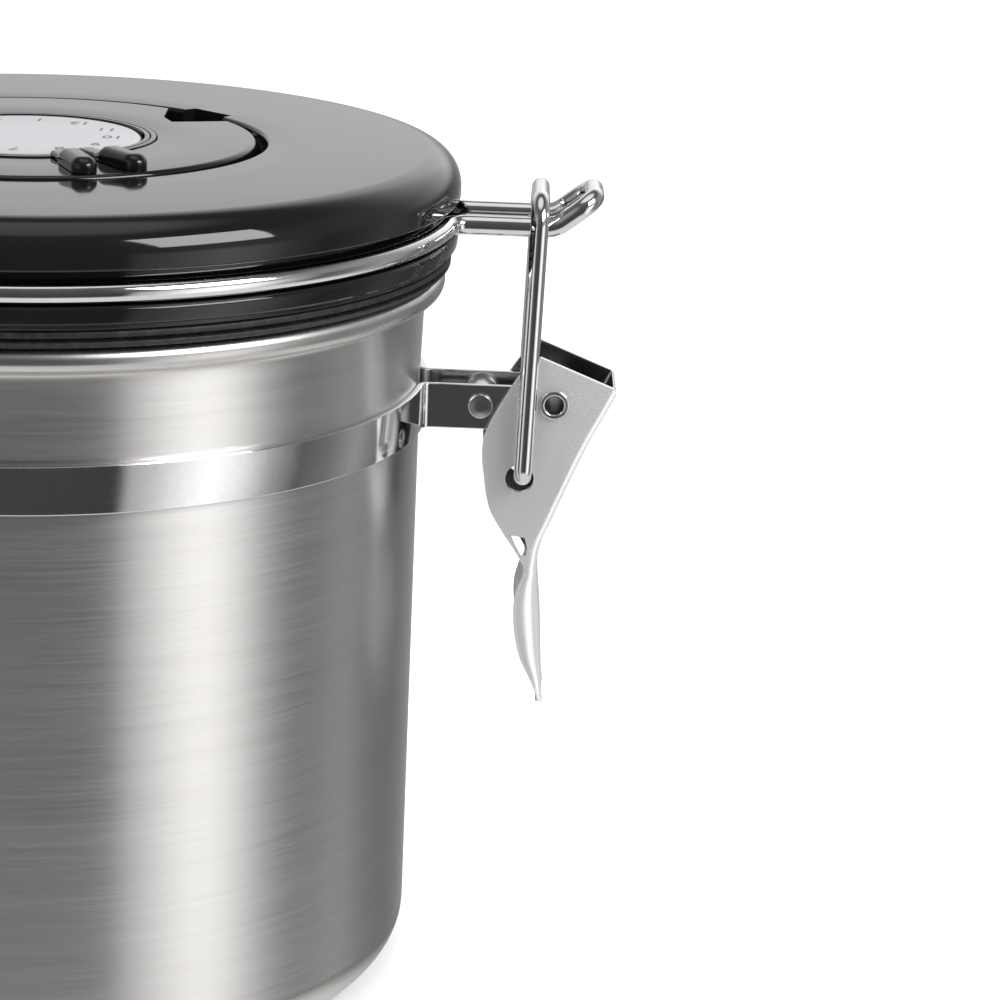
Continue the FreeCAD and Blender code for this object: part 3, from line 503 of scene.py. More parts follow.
def spun_steel():
    """Inside of the can and its rim: the same steel, drawn and a little smoother."""
    m = Mat("steel_spun")
    v = round_coords(m, 2.0, 1500.0, 1500.0)
    fine = m.noise(v, 1.0, 3.0, 0.55)
    m.colour(m.ramp(fine, [(0.3, (0.60, 0.585, 0.565)), (0.7, (0.72, 0.705, 0.69))]))
    m.rough(m.remap(fine, 0.25, 0.30, 0.3, 0.7))
    m.val("Metallic", 1.0)
    m.val("Anisotropic", 0.5)
    tg = m.node("ShaderNodeTangent", direction_type="RADIAL", axis="Z")
    m.link(tg.outputs[0], m.p.inputs["Tangent"])
    m.bump(fine, 0.015, 0.00004)
    return m.m


def polished(name, tint, rough_lo, rough_hi, scale, bump, aniso=0.0, streak=(1, 1, 1), metal=1.0):
    m = Mat(name)
    v = m.scaled(m.coords(), streak)
    fine = m.noise(v, scale, 4.0, 0.6)
    smear = m.noise(m.coords(), 60.0, 4.0, 0.6, 0.4)
    lo = tuple(c * 0.90 for c in tint)
    hi = tuple(min(1.0, c * 1.05) for c in tint)
    m.colour(m.ramp(m.math("ADD", m.math("MULTIPLY", fine, 0.4), m.math("MULTIPLY", smear, 0.6)), [(0.3, lo), (0.7, hi)]))
    m.rough(m.math("ADD", m.remap(smear, rough_lo, rough_hi, 0.35, 0.7), m.remap(fine, -0.01, 0.02, 0.3, 0.7)))
    m.val("Metallic", metal)
    if aniso:
        m.val("Anisotropic", aniso)
    m.bump(fine, bump, 0.00003)
    return m.m


def gloss_plastic():
    m = Mat("plastic_gloss_black")
    co = m.coords()
    peel = m.noise(co, 900.0, 2.0, 0.5)
    hair = m.noise(m.scaled(co, (1.0, 14.0, 6.0)), 420.0, 6.0, 0.75, 1.5)
    haze = m.noise(co, 34.0, 4.0, 0.6, 0.3)
    m.colour(m.ramp(haze, [(0.3, (0.0045, 0.0045, 0.0050)), (0.75, (0.0085, 0.0085, 0.0092))]))
    m.rough(m.math("ADD", m.remap(haze, 0.045, 0.10, 0.35, 0.7), m.remap(hair, 0.0, 0.05, 0.58, 0.72)))
    m.val("IOR", 1.50)
    m.val("Coat Weight", 0.0)
    m.val("Coat Roughness", 0.04)
    m.bump(peel, 0.03, 0.00003)
    return m.m


def silicone():
    m = Mat("silicone_black")
    co = m.coords()
    grain = m.noise(co, 2600.0, 3.0, 0.6)
    dust = m.noise(co, 700.0, 5.0, 0.7)
    m.colour(m.ramp(dust, [(0.45, (0.010, 0.010, 0.011)), (0.72, (0.026, 0.026, 0.027)), (0.80, (0.07, 0.07, 0.07))]))
    m.rough(m.remap(grain, 0.42, 0.60, 0.3, 0.7))
    m.val("IOR", 1.42)
    m.bump(grain, 0.12, 0.00006)
    return m.m


def dial_silver():
    m = Mat("dial_silver")
    co = m.coords()
    grain = m.noise(co, 4200.0, 2.0, 0.6)
    x, y, z = m.split(co)
    rad = m.math("SQRT", m.math("ADD", m.math("MULTIPLY", x, x), m.math("MULTIPLY", y, y)))
    spin = m.noise(m.join(m.math("MULTIPLY", rad, 5200.0), 0.0, 0.0), 1.0, 3.0, 0.6)
    f = m.math("ADD", m.math("MULTIPLY", grain, 0.55), m.math("MULTIPLY", spin, 0.45))
    m.colour(m.ramp(f, [(0.3, (0.50, 0.51, 0.53)), (0.7, (0.62, 0.63, 0.65))]))
    m.rough(m.remap(grain, 0.34, 0.48, 0.3, 0.7))
    m.val("Metallic", 0.55)
    m.bump(f, 0.05, 0.00004)
    return m.m


def dial_ink():
    m = Mat("dial_ink")
    g = m.noise(m.coords(), 5200.0, 3.0, 0.6)
    m.colour(m.ramp(g, [(0.3, (0.10, 0.10, 0.11)), (0.75, (0.17, 0.17, 0.18))]))
    m.rough(m.remap(g, 0.45, 0.6, 0.3, 0.7))
    return m.m


def white_plastic():
    m = Mat("plastic_matte_white")
    g = m.noise(m.coords(), 1800.0, 3.0, 0.6)
    h = m.noise(m.coords(), 60.0, 3.0, 0.6)
    m.colour(m.ramp(h, [(0.3, (0.66, 0.66, 0.64)), (0.7, (0.78, 0.78, 0.76))]))
    m.rough(m.remap(g, 0.42, 0.58, 0.3, 0.7))
    m.bump(g, 0.08, 0.00005)
    return m.m


def felt():
    m = Mat("filter_felt")
    g = m.noise(m.coords(), 1500.0, 6.0, 0.8, 1.2)
    m.colour(m.ramp(g, [(0.3, (0.58, 0.55, 0.48)), (0.7, (0.84, 0.82, 0.76))]))
    m.rough(m.remap(g, 0.8, 0.95, 0.3, 0.7))
    m.bump(g, 0.5, 0.0002)
    return m.m


STEEL = brushed_steel()
SPUN = spun_steel()
STRAP = polished("strap_polished", (0.74, 0.74, 0.745), 0.055, 0.12, 900.0, 0.03, 0.0, (1, 1, 1))
WIRE = polished("wire_chrome", (0.80, 0.80, 0.815), 0.035, 0.085, 700.0, 0.035)
LEVER = polished("lever_plated", (0.86, 0.86, 0.87), 0.22, 0.28, 1600.0, 0.006, 0.0, (1, 1, 3), 0.64)
# darker copy of the lever's plated metal: painted shade on the inner faces of the lever's channel
LEVER_PAINTED_SHADE = polished("lever_inside_painted_shade", (0.30, 0.30, 0.31), 0.16, 0.22, 1600.0, 0.008, 0.0, (1, 1, 3), 1.0)
# dark brown copy of the rivet metal: painted shade inside the pivot rivet's bore
BORE_PAINTED_SHADE = polished("rivet_bore_painted_shade", (0.10, 0.085, 0.065), 0.30, 0.45, 900.0, 0.08, 0.0, (1, 1, 1), 0.7)
RIVET = polished("rivet_satin", (0.62, 0.62, 0.63), 0.20, 0.32, 900.0, 0.08)
BLACK = gloss_plastic()
RUBBER = silicone()
DIAL = dial_silver()
INK = dial_ink()
WHITE = white_plastic()
FELT = felt()


def dress(obj, mat, slot, body, *nodes):
    obj.data.materials.clear()
    obj.data.materials.append(mat)
    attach(obj, body)
    if nodes:
        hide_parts(*nodes)
    return obj


# ------------------------------------------------------------------ can
prof = [(0.0, 0.0), (20.0, 0.0), (40.0, 0.0), (49.1, 0.0)] + arc_pts(49.1, 7.5, 7.5, -90, 0, 24)[1:]
prof += [(56.72, 30.0), (56.88, 60.0), (57.0, 82.0), (57.0, 90.0), (57.28, 98.0), (57.37, 100.3)]
prof += [(57.42, 100.8), (57.5, 101.15), (57.7, 101.4), (58.0, 101.58)]
prof += arc_pts(58.4, 103.45, 1.8, -82, 60, 22)
prof += [(58.8, 105.17), (57.9, 105.2)] + arc_pts(57.7, 103.8, 1.4, 88, 180, 12)[1:]
prof += [(56.3, 60.0), (56.3, 9.0)] + arc_pts(49.5, 8.4, 6.8, 0, -90, 18)[1:] + [(30.0, 1.6), (0.0, 1.6)]
can = lathe("can_shell", prof, 384)
can.data.materials.append(STEEL)
can.data.materials.append(SPUN)
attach(can, "canister")
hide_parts("canister_body")
for p in can.data.polygons:
    c = p.center
    r = math.hypot(c.x, c.y) * 1000
    z = c.z * 1000
    inside = (r < 56.6 and z > 1.2) or z > 101.2
    p.material_index = 1 if inside else 0

# ------------------------------------------------------------------ clamp band: one strip, its ends bent out as arms
def strap_path(y_mid, r_mid, x_end, bend):
    """Middle line of the strip in the XY plane from one arm tip round the can to the other."""
    cy = y_mid + bend
    cx = math.sqrt((r_mid + bend) ** 2 - cy ** 2)
    tx, ty = cx * r_mid / (r_mid + bend), cy * r_mid / (r_mid + bend)
    half = [Vector((x_end, y_mid, 0))]
    for k in range(1, 9):
        half.append(Vector((x_end + (cx - x_end) * k / 9.0, y_mid, 0)))
    a0 = -math.pi / 2
    a1 = math.atan2(ty - cy, tx - cx)
    if a1 > 0:
        a1 -= 2 * math.pi
    n = 14
    for k in range(n + 1):
        a = a0 + (a1 - a0) * k / n
        half.append(Vector((cx + bend * math.cos(a), cy + bend * math.sin(a), 0)))
    t0 = math.atan2(ty, tx)
    m = 200
    arc = [Vector((r_mid * math.cos(t0 + (2 * math.pi - 2 * t0) * k / m), r_mid * math.sin(t0 + (2 * math.pi - 2 * t0) * k / m), 0))
           for k in range(1, m)]
    other = [Vector((p.x, -p.y, 0)) for p in reversed(half)]
    return half + arc + other


def strip(name, path, section):
    """Sweep a flat section (across, up) along a level path."""
    n = len(path)
    verts, faces, rings = [], [], []
    for i, p in enumerate(path):
        t = (path[min(i + 1, n - 1)] - path[max(i - 1, 0)]).normalized()
        nrm = Vector((t.y, -t.x, 0))
        ids = []
        for a, b in section:
            ids.append(len(verts))
            verts.append((p + nrm * a + Vector((0, 0, b))) * MM)
        rings.append(ids)
    s = len(section)
    for i in range(n - 1):
        for k in range(s):
            k2 = (k + 1) % s
            faces.append((rings[i][k], rings[i][k2], rings[i + 1][k2], rings[i + 1][k]))
    faces.append(tuple(rings[0]))
    faces.append(tuple(reversed(rings[-1])))
    obj = mesh_object(name, verts, faces)
    fix_normals(obj)
    return obj


z0, z1 = 82.6, 89.2
th = 0.45
sec = rounded([(-th, z0, 0), (th, z0, 0), (th, z1, 0), (-th, z1, 0)], [0.22] * 4, 5, closed=True)
sec = [(a, b) for a, b, c in sec]
band = strip("strap", strap_path(4.35, 57.5, 79.99, 1.5), sec)
corner = []
for zc, s in ((z0, 1), (z1, -1)):
    rr = 2.6
    cx, cz = 80.0 - rr, zc + s * rr
    pts = [(80.3, zc - s * 0.3)] + [(cx + rr * math.cos(a), cz - s * rr * math.sin(a)) for a in
                                   [math.pi / 2 * (1 - k / 10) for k in range(11)]] + [(80.3, cz)]
    pts = [(cx, zc - s * 0.3)] + pts[1:] + [(80.3, zc - s * 0.3)]
    corner.append(prism("c", pts, -6, 6))
cut(band, corner + [cutter_cylinder("c", 1.26, 14, (66.0, 0, 86.2)), cutter_cylinder("c", 1.61, 14, (76.6, 0, 87.0))])
shade(band, 30)
dress(band, STRAP, "strap_steel", "canister", "strap_band")

# ------------------------------------------------------------------ rivets
def both_ends(half):
    """Outline given from the middle plane outwards to one end, completed with its mirror image."""
    return [(r, -h) for r, h in reversed(half)] + half


head = [(1.25, 0.0), (1.25, 4.82), (1.72, 4.82), (1.85, 4.92), (1.85, 5.25)] + \
    [(1.85 - 0.34 * (1 - math.cos(a)) - 0.0, 5.25 + 0.42 * math.sin(a)) for a in [math.pi / 2 * k / 8 for k in range(1, 9)]] + \
    [(1.1, 5.78), (0.55, 5.84), (0.0, 5.85)]
rv = lathe("arm_rivet", both_ends(head), 96, "Y", (66.0, 0, 86.2))
dress(rv, RIVET, "rivet_steel", "canister", "bracket_rivet")

tube = rounded([(1.27, -3.88, 0), (2.3, -3.88, 0), (2.3, 3.88, 0), (1.27, 3.88, 0)], [0.1, 0.18, 0.18, 0.1], 4, closed=True)
sp = lathe("arm_spacer", [(a, b) for a, b, c in tube], 72, "Y", (66.0, 0, 86.2))
dress(sp, RIVET, "rivet_steel", "canister", "bracket_spacer")

half = [(1.6, 0.0), (1.6, 6.3), (1.72, 6.31), (2.02, 6.33), (2.13, 6.42), (2.15, 6.55), (2.08, 6.69), (1.92, 6.78), (1.72, 6.8),
        (1.5, 6.74), (1.34, 6.58), (1.24, 6.3), (1.18, 5.9), (1.15, 5.4)]
pv = lathe("pivot_rivet", [(r, h) for r, h in half] + [(1.15, -5.4)] + [(r, -h) for r, h in reversed(half[:-1])][:-1], 96, "Y",
           (76.6, 0, 87.0))
dress(pv, RIVET, "rivet_steel", "canister", "lever_pivot_rivet")
# the bore's inner wall takes the dark copy: painted shade in the hole
pv.data.materials.append(BORE_PAINTED_SHADE)
for p in pv.data.polygons:
    c = p.center * 1000
    if math.hypot(c.x - 76.6, c.z - 87.0) < 1.28:
        p.material_index = 1

# ------------------------------------------------------------------ rear hinge bracket: strip with a rolled knuckle
ax, az = -67.5, 112.7
ri = 1.45
t = 0.9
mid_r = ri + t / 2
fx = -57.97 - t / 2
mid = [(fx, 82.4, 0), (fx, 91.6, 0), (ax - mid_r, 101.2, 0), (ax - mid_r, az, 0)]
mid = rounded(mid, [0, 2.8, 2.8, 0], 12)
mid = [(a, b) for a, b, c in mid]
mid += [(ax + mid_r * math.cos(math.radians(d)), az + mid_r * math.sin(math.radians(d))) for d in range(174, -63, -6)]


def sheet_section(name, mid, thick, half, edge=0.18, cols=24):
    """A bent strip of sheet: the middle line in the XZ plane, its thickness and its half width."""
    n = len(mid)
    sect = rounded([(-thick / 2, -half, 0), (thick / 2, -half, 0), (thick / 2, half, 0), (-thick / 2, half, 0)], [edge] * 4, 4, closed=True)
    verts, faces, rings = [], [], []
    for i, (x, z) in enumerate(mid):
        a, b = mid[max(i - 1, 0)], mid[min(i + 1, n - 1)]
        tx, tz = b[0] - a[0], b[1] - a[1]
        k = math.hypot(tx, tz)
        nx, nz = tz / k, -tx / k
        ids = []
        for u, v, w in sect:
            ids.append(len(verts))
            verts.append(((x + nx * u) * MM, v * MM, (z + nz * u) * MM))
        rings.append(ids)
    s = len(sect)
    for i in range(n - 1):
        for k in range(s):
            k2 = (k + 1) % s
            faces.append((rings[i][k], rings[i][k2], rings[i + 1][k2], rings[i + 1][k]))
    faces.append(tuple(rings[0]))
    faces.append(tuple(reversed(rings[-1])))
    obj = mesh_object(name, verts, faces)
    fix_normals(obj)
    return obj


hb = sheet_section("rear_bracket", mid, t, 5.3)
cut(hb, [cutter_cylinder("c", 0.86, 8, (-58.5, 3.0, 86.4), "X"), cutter_cylinder("c", 0.86, 8, (-58.5, -3.0, 86.4), "X")])
shade(hb, 30)
dress(hb, STRAP, "strap_steel", "canister", "hinge_bracket")

face_x = -58.88
hr = None
dome = [(0.85, -57.1), (0.85, face_x), (1.6, face_x), (1.7, face_x - 0.08)] + \
    [(1.7 * math.cos(a) if k < 8 else 0.0, face_x - 0.08 - 0.72 * math.sin(a)) for k, a in
     [(k, math.pi / 2 * k / 8) for k in range(1, 9)]] + [(0.0, -57.1)]
for tag, yy in (("a", 3.0), ("b", -3.0)):
    verts, prof2 = [], [(r, x) for r, x in dome]
    o = lathe("rear_rivet_" + tag, prof2, 64, "X", (0, yy, 86.4))
    dress(o, RIVET, "rivet_steel", "canister")
    if hr is None:
        hr = o
        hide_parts("hinge_rivets")

# ------------------------------------------------------------------ lid
prof = [(59.9, 115.5), (61.55, 115.5)] + arc_pts(61.6, 116.0, 0.5, -90, 0, 6)[1:] + arc_pts(57.1, 117.0, 5.0, 0, 90, 28)
prof += [(50.0, 122.0), (40.0, 122.0)] + arc_pts(34.7, 121.4, 0.6, 90, 180, 8) + [(34.1, 120.0)]
prof += arc_pts(33.7, 118.3, 0.4, 0, -90, 5) + [(20.3, 117.9), (20.0, 117.6), (20.0, 116.7), (20.2, 116.5)]
prof += [(37.3, 116.5), (37.6, 116.8), (37.6, 119.9), (37.9, 120.2)] + arc_pts(56.9, 117.2, 3.0, 90, 0, 10) + [(59.9, 115.5)]
prof = prof[:-1]
lid = lathe("lid_shell", prof, 384)
an = math.radians(48.0)
ux, uy = math.cos(an), math.sin(an)


def npt(along, side):
    return (ux * along - uy * side, uy * along + ux * side)


notch = prism("c", [npt(31.9, -4.6), npt(36.1, -3.7), npt(36.1, 4.1), npt(31.9, 4.6)], 119.1, 123.0, plane="XY")
cut(lid, [notch])
shade(lid, 30)
dress(lid, BLACK, "lid_black", "lid", "lid_cover")

prof = [(15.0, 98.0), (53.4, 98.0)] + arc_pts(53.4, 99.2, 1.2, -90, 0, 8)[1:]
prof += [(54.6, 107.6), (54.8, 107.8), (60.6, 107.8)] + arc_pts(60.62, 108.1, 0.3, -90, 0, 5)[1:]
prof += [(60.98, 108.45), (61.2, 108.62), (61.6, 108.75), (61.78, 108.95), (61.85, 109.4)] + arc_pts(61.2, 110.4, 0.7, 5, 90, 8) + [(59.5, 111.1), (59.3, 111.14), (59.2, 111.3), (59.2, 116.4), (59.0, 116.6), (57.1, 116.6),
          (56.9, 116.4), (56.9, 109.4), (52.6, 109.4), (52.6, 99.8), (15.0, 99.8)]
lb = lathe("lid_plug", prof, 384)
dress(lb, BLACK, "lid_black", "lid", "lid_base")

prof = [(54.75, 105.55), (54.95, 105.35), (60.0, 105.35), (60.25, 105.4), (60.42, 105.55), (60.8, 105.95), (60.95, 106.15), (60.9, 106.28),
        (60.6, 106.38), (60.25, 106.44), (60.12, 106.55), (60.25, 106.66), (60.6, 106.74), (60.9, 106.88), (61.0, 107.05), (61.0, 107.4),
        (60.9, 107.6), (60.7, 107.7), (54.95, 107.7), (54.75, 107.5)]
lg = lathe("lid_seal", prof, 384)
dress(lg, RUBBER, "seal_black", "lid", "lid_gasket")


# closed wire: rear pin, ring, front catch loop
def lid_wire_path():
    R, z, k = 60.9, 112.7, 3.0

    def blend(leg_y, sign):
        cy = leg_y + k
        cx = sign * math.sqrt((R + k) ** 2 - cy ** 2)
        return Vector((cx, cy, z)), Vector((cx * R / (R + k), cy * R / (R + k), z)), Vector((cx, leg_y, z))
    cr, rr, rl = blend(8.0, -1)
    cf, fr, fl = blend(5.5, 1)

    def sweep(c, a, b, n=12):
        u, w = (a - c), (b - c)
        ang = u.angle(w)
        return [c + (u * math.sin((1 - i / n) * ang) + w * math.sin(i / n * ang)) / math.sin(ang) for i in range(n + 1)]
    rear = bent([(-67.5, 0, z), (-67.5, 8.0, z), tuple(rl)], [2.2])
    a0, a1 = math.atan2(rr.y, rr.x), math.atan2(fr.y, fr.x)
    ring = [Vector((R * math.cos(a0 + (a1 - a0) * i / 150), R * math.sin(a0 + (a1 - a0) * i / 150), z)) for i in range(151)]
    front = bent([tuple(fl), (75.6, 5.5, z), (81.1, 5.5, 116.9), (81.1, 0, 116.9)], [4.0, 5.5], 18)
    half = rear + sweep(cr, rl, rr) + ring + sweep(cf, fr, fl) + front
    out = []
    for p in half:
        if not out or (p - out[-1]).length > 0.02:
            out.append(p)
    out[0].y = 0.0
    mirror = [Vector((p.x, -p.y, p.z)) for p in reversed(out[1:-1])]
    return out + mirror


wire_path = resample(lid_wire_path(), 0.9, closed=True)
lw = rod("lid_bail", wire_path, 1.4, closed=True, seg=36)
dress(lw, WIRE, "wire_chrome", "lid", "lid_wire")

# ------------------------------------------------------------------ vent inside the lid
for node, mat in (("valve_seat", WHITE), ("valve_flap", RUBBER), ("valve_filter", FELT)):
    o = NODES[node]
    o.data.materials.clear()
    o.data.materials.append(mat)
    shade(o, 30)
prof = [(0.0, 95.2), (15.9, 95.2)] + arc_pts(15.9, 95.9, 0.7, -90, 0, 6)[1:] + [(16.6, 97.7), (16.4, 97.9), (15.2, 97.9), (15.0, 97.7), (15.0, 96.7),
       (14.7, 96.4), (0.0, 96.4)]
gd = lathe("vent_guard", prof, 160)
holes = []
for cnt, rad in ((8, 6.5), (14, 10.8)):
    for k in range(cnt):
        a = 2 * math.pi * k / cnt
        holes.append(cutter_cylinder("c", 1.1, 6, (rad * math.cos(a), rad * math.sin(a), 95.8), "Z", 28))
cut(gd, holes)
shade(gd, 30)
dress(gd, WHITE, "valve_white", "lid", "filter_guard")

# ------------------------------------------------------------------ date dial
prof = [(0.0, 118.05), (31.0, 118.05), (32.5, 119.1), (32.6, 119.3), (32.6, 121.6)] + arc_pts(31.9, 121.6, 0.7, 0, 90, 14)[1:]
prof += [(25.0, 122.3), (18.75, 122.3)] + arc_pts(18.75, 121.95, 0.35, 90, 180, 6)[1:] + [(18.4, 119.2), (16.5, 119.2), (16.5, 120.8), (16.3, 121.0), (0.0, 121.0)]
dc = lathe("dial_housing", prof, 288)
cut(dc, [prism("c", [(33.5, 19.3), (19.0, 15.0), (17.4, 19.0), (17.0, 34.0), (33.5, 34.0)], 120.1, 123.5, plane="XY")])
shade(dc, 30)
dress(dc, BLACK, "lid_black", "dial", "dial_cap")

prof = [(0.0, 121.05), (16.1, 121.05), (16.2, 121.15), (16.2, 121.85), (16.12, 122.0), (15.75, 122.28), (15.5, 122.35), (8.0, 122.35), (0.0, 122.35)]
dp = lathe("dial_face", prof, 240)
dress(dp, DIAL, "dial_silver", "dial", "dial_plate")


def flat_text(name, body, size):
    cu = bpy.data.curves.new(name, "FONT")
    cu.body = body
    cu.size = size * MM
    cu.align_x = "CENTER"
    cu.align_y = "CENTER"
    cu.extrude = 0.012 * MM
    cu.offset = 0.03 * MM
    cu.resolution_u = 6
    o = bpy.data.objects.new(name, cu)
    scene.collection.objects.link(o)
    dg = bpy.context.evaluated_depsgraph_get()
    me = bpy.data.meshes.new_from_object(o.evaluated_get(dg))
    bpy.data.objects.remove(o)
    ob = link(bpy.data.objects.new(name, me))
    return ob


for num in range(1, 13):
    az_deg = 60 + 30 * num
    a = math.radians(az_deg)
    o = flat_text("number_%02d" % num, str(num), 3.05)
    mat = Matrix.Translation((12.2 * MM * math.cos(a), 12.2 * MM * math.sin(a), 122.362 * MM)) @ Matrix.Rotation(math.pi, 4, "Z")
    o.data.transform(mat)
    dress(o, INK, "dial_silver", "dial")


def pointer(name, ring_in, ring_out, angle, body, node):
    """Carrier ring round the dial with one soft-edged arm lying on the cap."""
    prof = rounded([(ring_in, 119.3, 0), (ring_out, 119.3, 0), (ring_out, 122.42, 0), (ring_in, 122.42, 0)], [0.12] * 4, 4, closed=True)
    ring = lathe(name + "_ring", [(a, b) for a, b, c in prof], 192)
    x0, x1, hw = ring_in + 0.15, 31.9 - 1.75, 1.75
    za, zb = 122.42, 124.5
    # cross sections along the arm, rounded like a bullet at the outer end
    secs = []
    rows = 40
    for i in range(rows + 1):
        s = i / rows
        x = x0 + (x1 + hw - x0) * (s if s < 0.6 else 0.6 + 0.4 * math.sin((s - 0.6) / 0.4 * math.pi / 2))
        if x <= x1:
            w = hw
            top = zb
        else:
            q = math.sqrt(max(0.0, 1 - ((x - x1) / hw) ** 2))
            w = max(hw * q, 0.02)
            top = za + (zb - za) * (0.35 + 0.65 * q)
        q = min(1.0, max(0.0, (x - 21.0) / 3.0))
        q = q * q * (3 - 2 * q)
        w = min(w, hw * (0.75 + 0.25 * q))
        top = min(top, za + 0.7 + (zb - za - 0.7) * q)
        secs.append((x, w, top))
    verts, faces, rings = [], [], []
    for x, w, top in secs:
        ids = []
        loop = [(-w, za), (w, za)]
        r = min(1.25, w * 0.85, (top - za) * 0.72)
        loop += [(w, top - r)] + [(w - r + r * math.cos(b), top - r + r * math.sin(b)) for b in [math.pi / 2 * k / 7 for k in range(1, 8)]]
        loop += [(-w + r - r * math.sin(b), top - r + r * math.cos(b)) for b in [math.pi / 2 * k / 7 for k in range(0, 8)]]
        for yv, zv in loop:
            ids.append(len(verts))
            verts.append(Vector((x, yv, zv)))
        rings.append(ids)
    s = len(rings[0])
    for i in range(len(rings) - 1):
        for k in range(s):
            k2 = (k + 1) % s
            faces.append((rings[i][k], rings[i][k2], rings[i + 1][k2], rings[i + 1][k]))
    faces.append(tuple(reversed(rings[0])))
    faces.append(tuple(rings[-1]))
    arm = mesh_object(name + "_arm", [v * MM for v in verts], faces)
    fix_normals(arm)
    shade(arm, 50)
    rot = Matrix.Rotation(math.radians(angle), 4, "Z")
    for o in (ring, arm):
        o.data.transform(rot)
        dress(o, BLACK, "lid_black", body)
    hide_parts(node)


pointer("month_hand", 17.55, 18.3, -67.0, "month_marker", "month_pointer")
pointer("day_hand", 16.65, 17.4, -53.0, "day_marker", "day_pointer")

# ------------------------------------------------------------------ latch lever, pressed from one sheet
FRONT = [(85.9, 89.3), (84.0, 85.5), (82.0, 81.6), (80.0, 77.1), (78.0, 72.3), (76.6, 68.8), (75.7, 66.6), (75.15, 64.1), (75.1, 61.8), (75.35, 59.0),
         (75.65, 56.0), (75.95, 52.0), (76.15, 48.0), (76.4, 44.0), (76.6, 41.0)]
BACK = [(74.4, 93.9), (71.8, 91.5), (69.4, 87.8), (67.5, 84.2), (66.55, 81.3), (66.45, 78.8), (66.8, 76.1), (67.2, 73.4), (67.9, 70.9), (69.0, 68.9),
        (70.5, 66.6), (72.0, 64.3), (73.2, 61.8), (72.4, 59.4), (71.85, 57.0), (71.85, 54.6), (72.3, 51.2), (73.2, 48.0), (74.5, 45.4), (75.5, 43.0), (75.95, 41.2)]


def spline(pts, n):
    """Evenly spaced points on a centripetal Catmull-Rom curve through pts."""
    P = [Vector((a, b, 0)) for a, b in pts]
    P = [P[0] * 2 - P[1]] + P + [P[-1] * 2 - P[-2]]
    dense = []
    for i in range(1, len(P) - 2):
        p0, p1, p2, p3 = P[i - 1], P[i], P[i + 1], P[i + 2]
        t0 = 0.0
        t1 = t0 + max((p1 - p0).length ** 0.5, 1e-6)
        t2 = t1 + max((p2 - p1).length ** 0.5, 1e-6)
        t3 = t2 + max((p3 - p2).length ** 0.5, 1e-6)
        for k in range(16):
            t = t1 + (t2 - t1) * k / 16
            A1 = p0 * ((t1 - t) / (t1 - t0)) + p1 * ((t - t0) / (t1 - t0))
            A2 = p1 * ((t2 - t) / (t2 - t1)) + p2 * ((t - t1) / (t2 - t1))
            A3 = p2 * ((t3 - t) / (t3 - t2)) + p3 * ((t - t2) / (t3 - t2))
            B1 = A1 * ((t2 - t) / (t2 - t0)) + A2 * ((t - t0) / (t2 - t0))
            B2 = A2 * ((t3 - t) / (t3 - t1)) + A3 * ((t - t1) / (t3 - t1))
            dense.append(B1 * ((t2 - t) / (t2 - t1)) + B2 * ((t - t1) / (t2 - t1)))
    dense.append(P[-2])
    ln = [0.0]
    for a, b in zip(dense, dense[1:]):
        ln.append(ln[-1] + (b - a).length)
    out = []
    j = 0
    for i in range(n):
        d = ln[-1] * i / (n - 1)
        while j < len(ln) - 2 and ln[j + 1] < d:
            j += 1
        f = (d - ln[j]) / max(ln[j + 1] - ln[j], 1e-9)
        out.append(dense[j].lerp(dense[j + 1], f))
    return out


def at_height(curve, z):
    for a, b in zip(curve, curve[1:]):
        if (a.y - z) * (b.y - z) <= 0 and a.y != b.y:
            return a.lerp(b, (z - a.y) / (b.y - a.y))
    return curve[-1] if abs(curve[-1].y - z) < abs(curve[0].y - z) else curve[0]


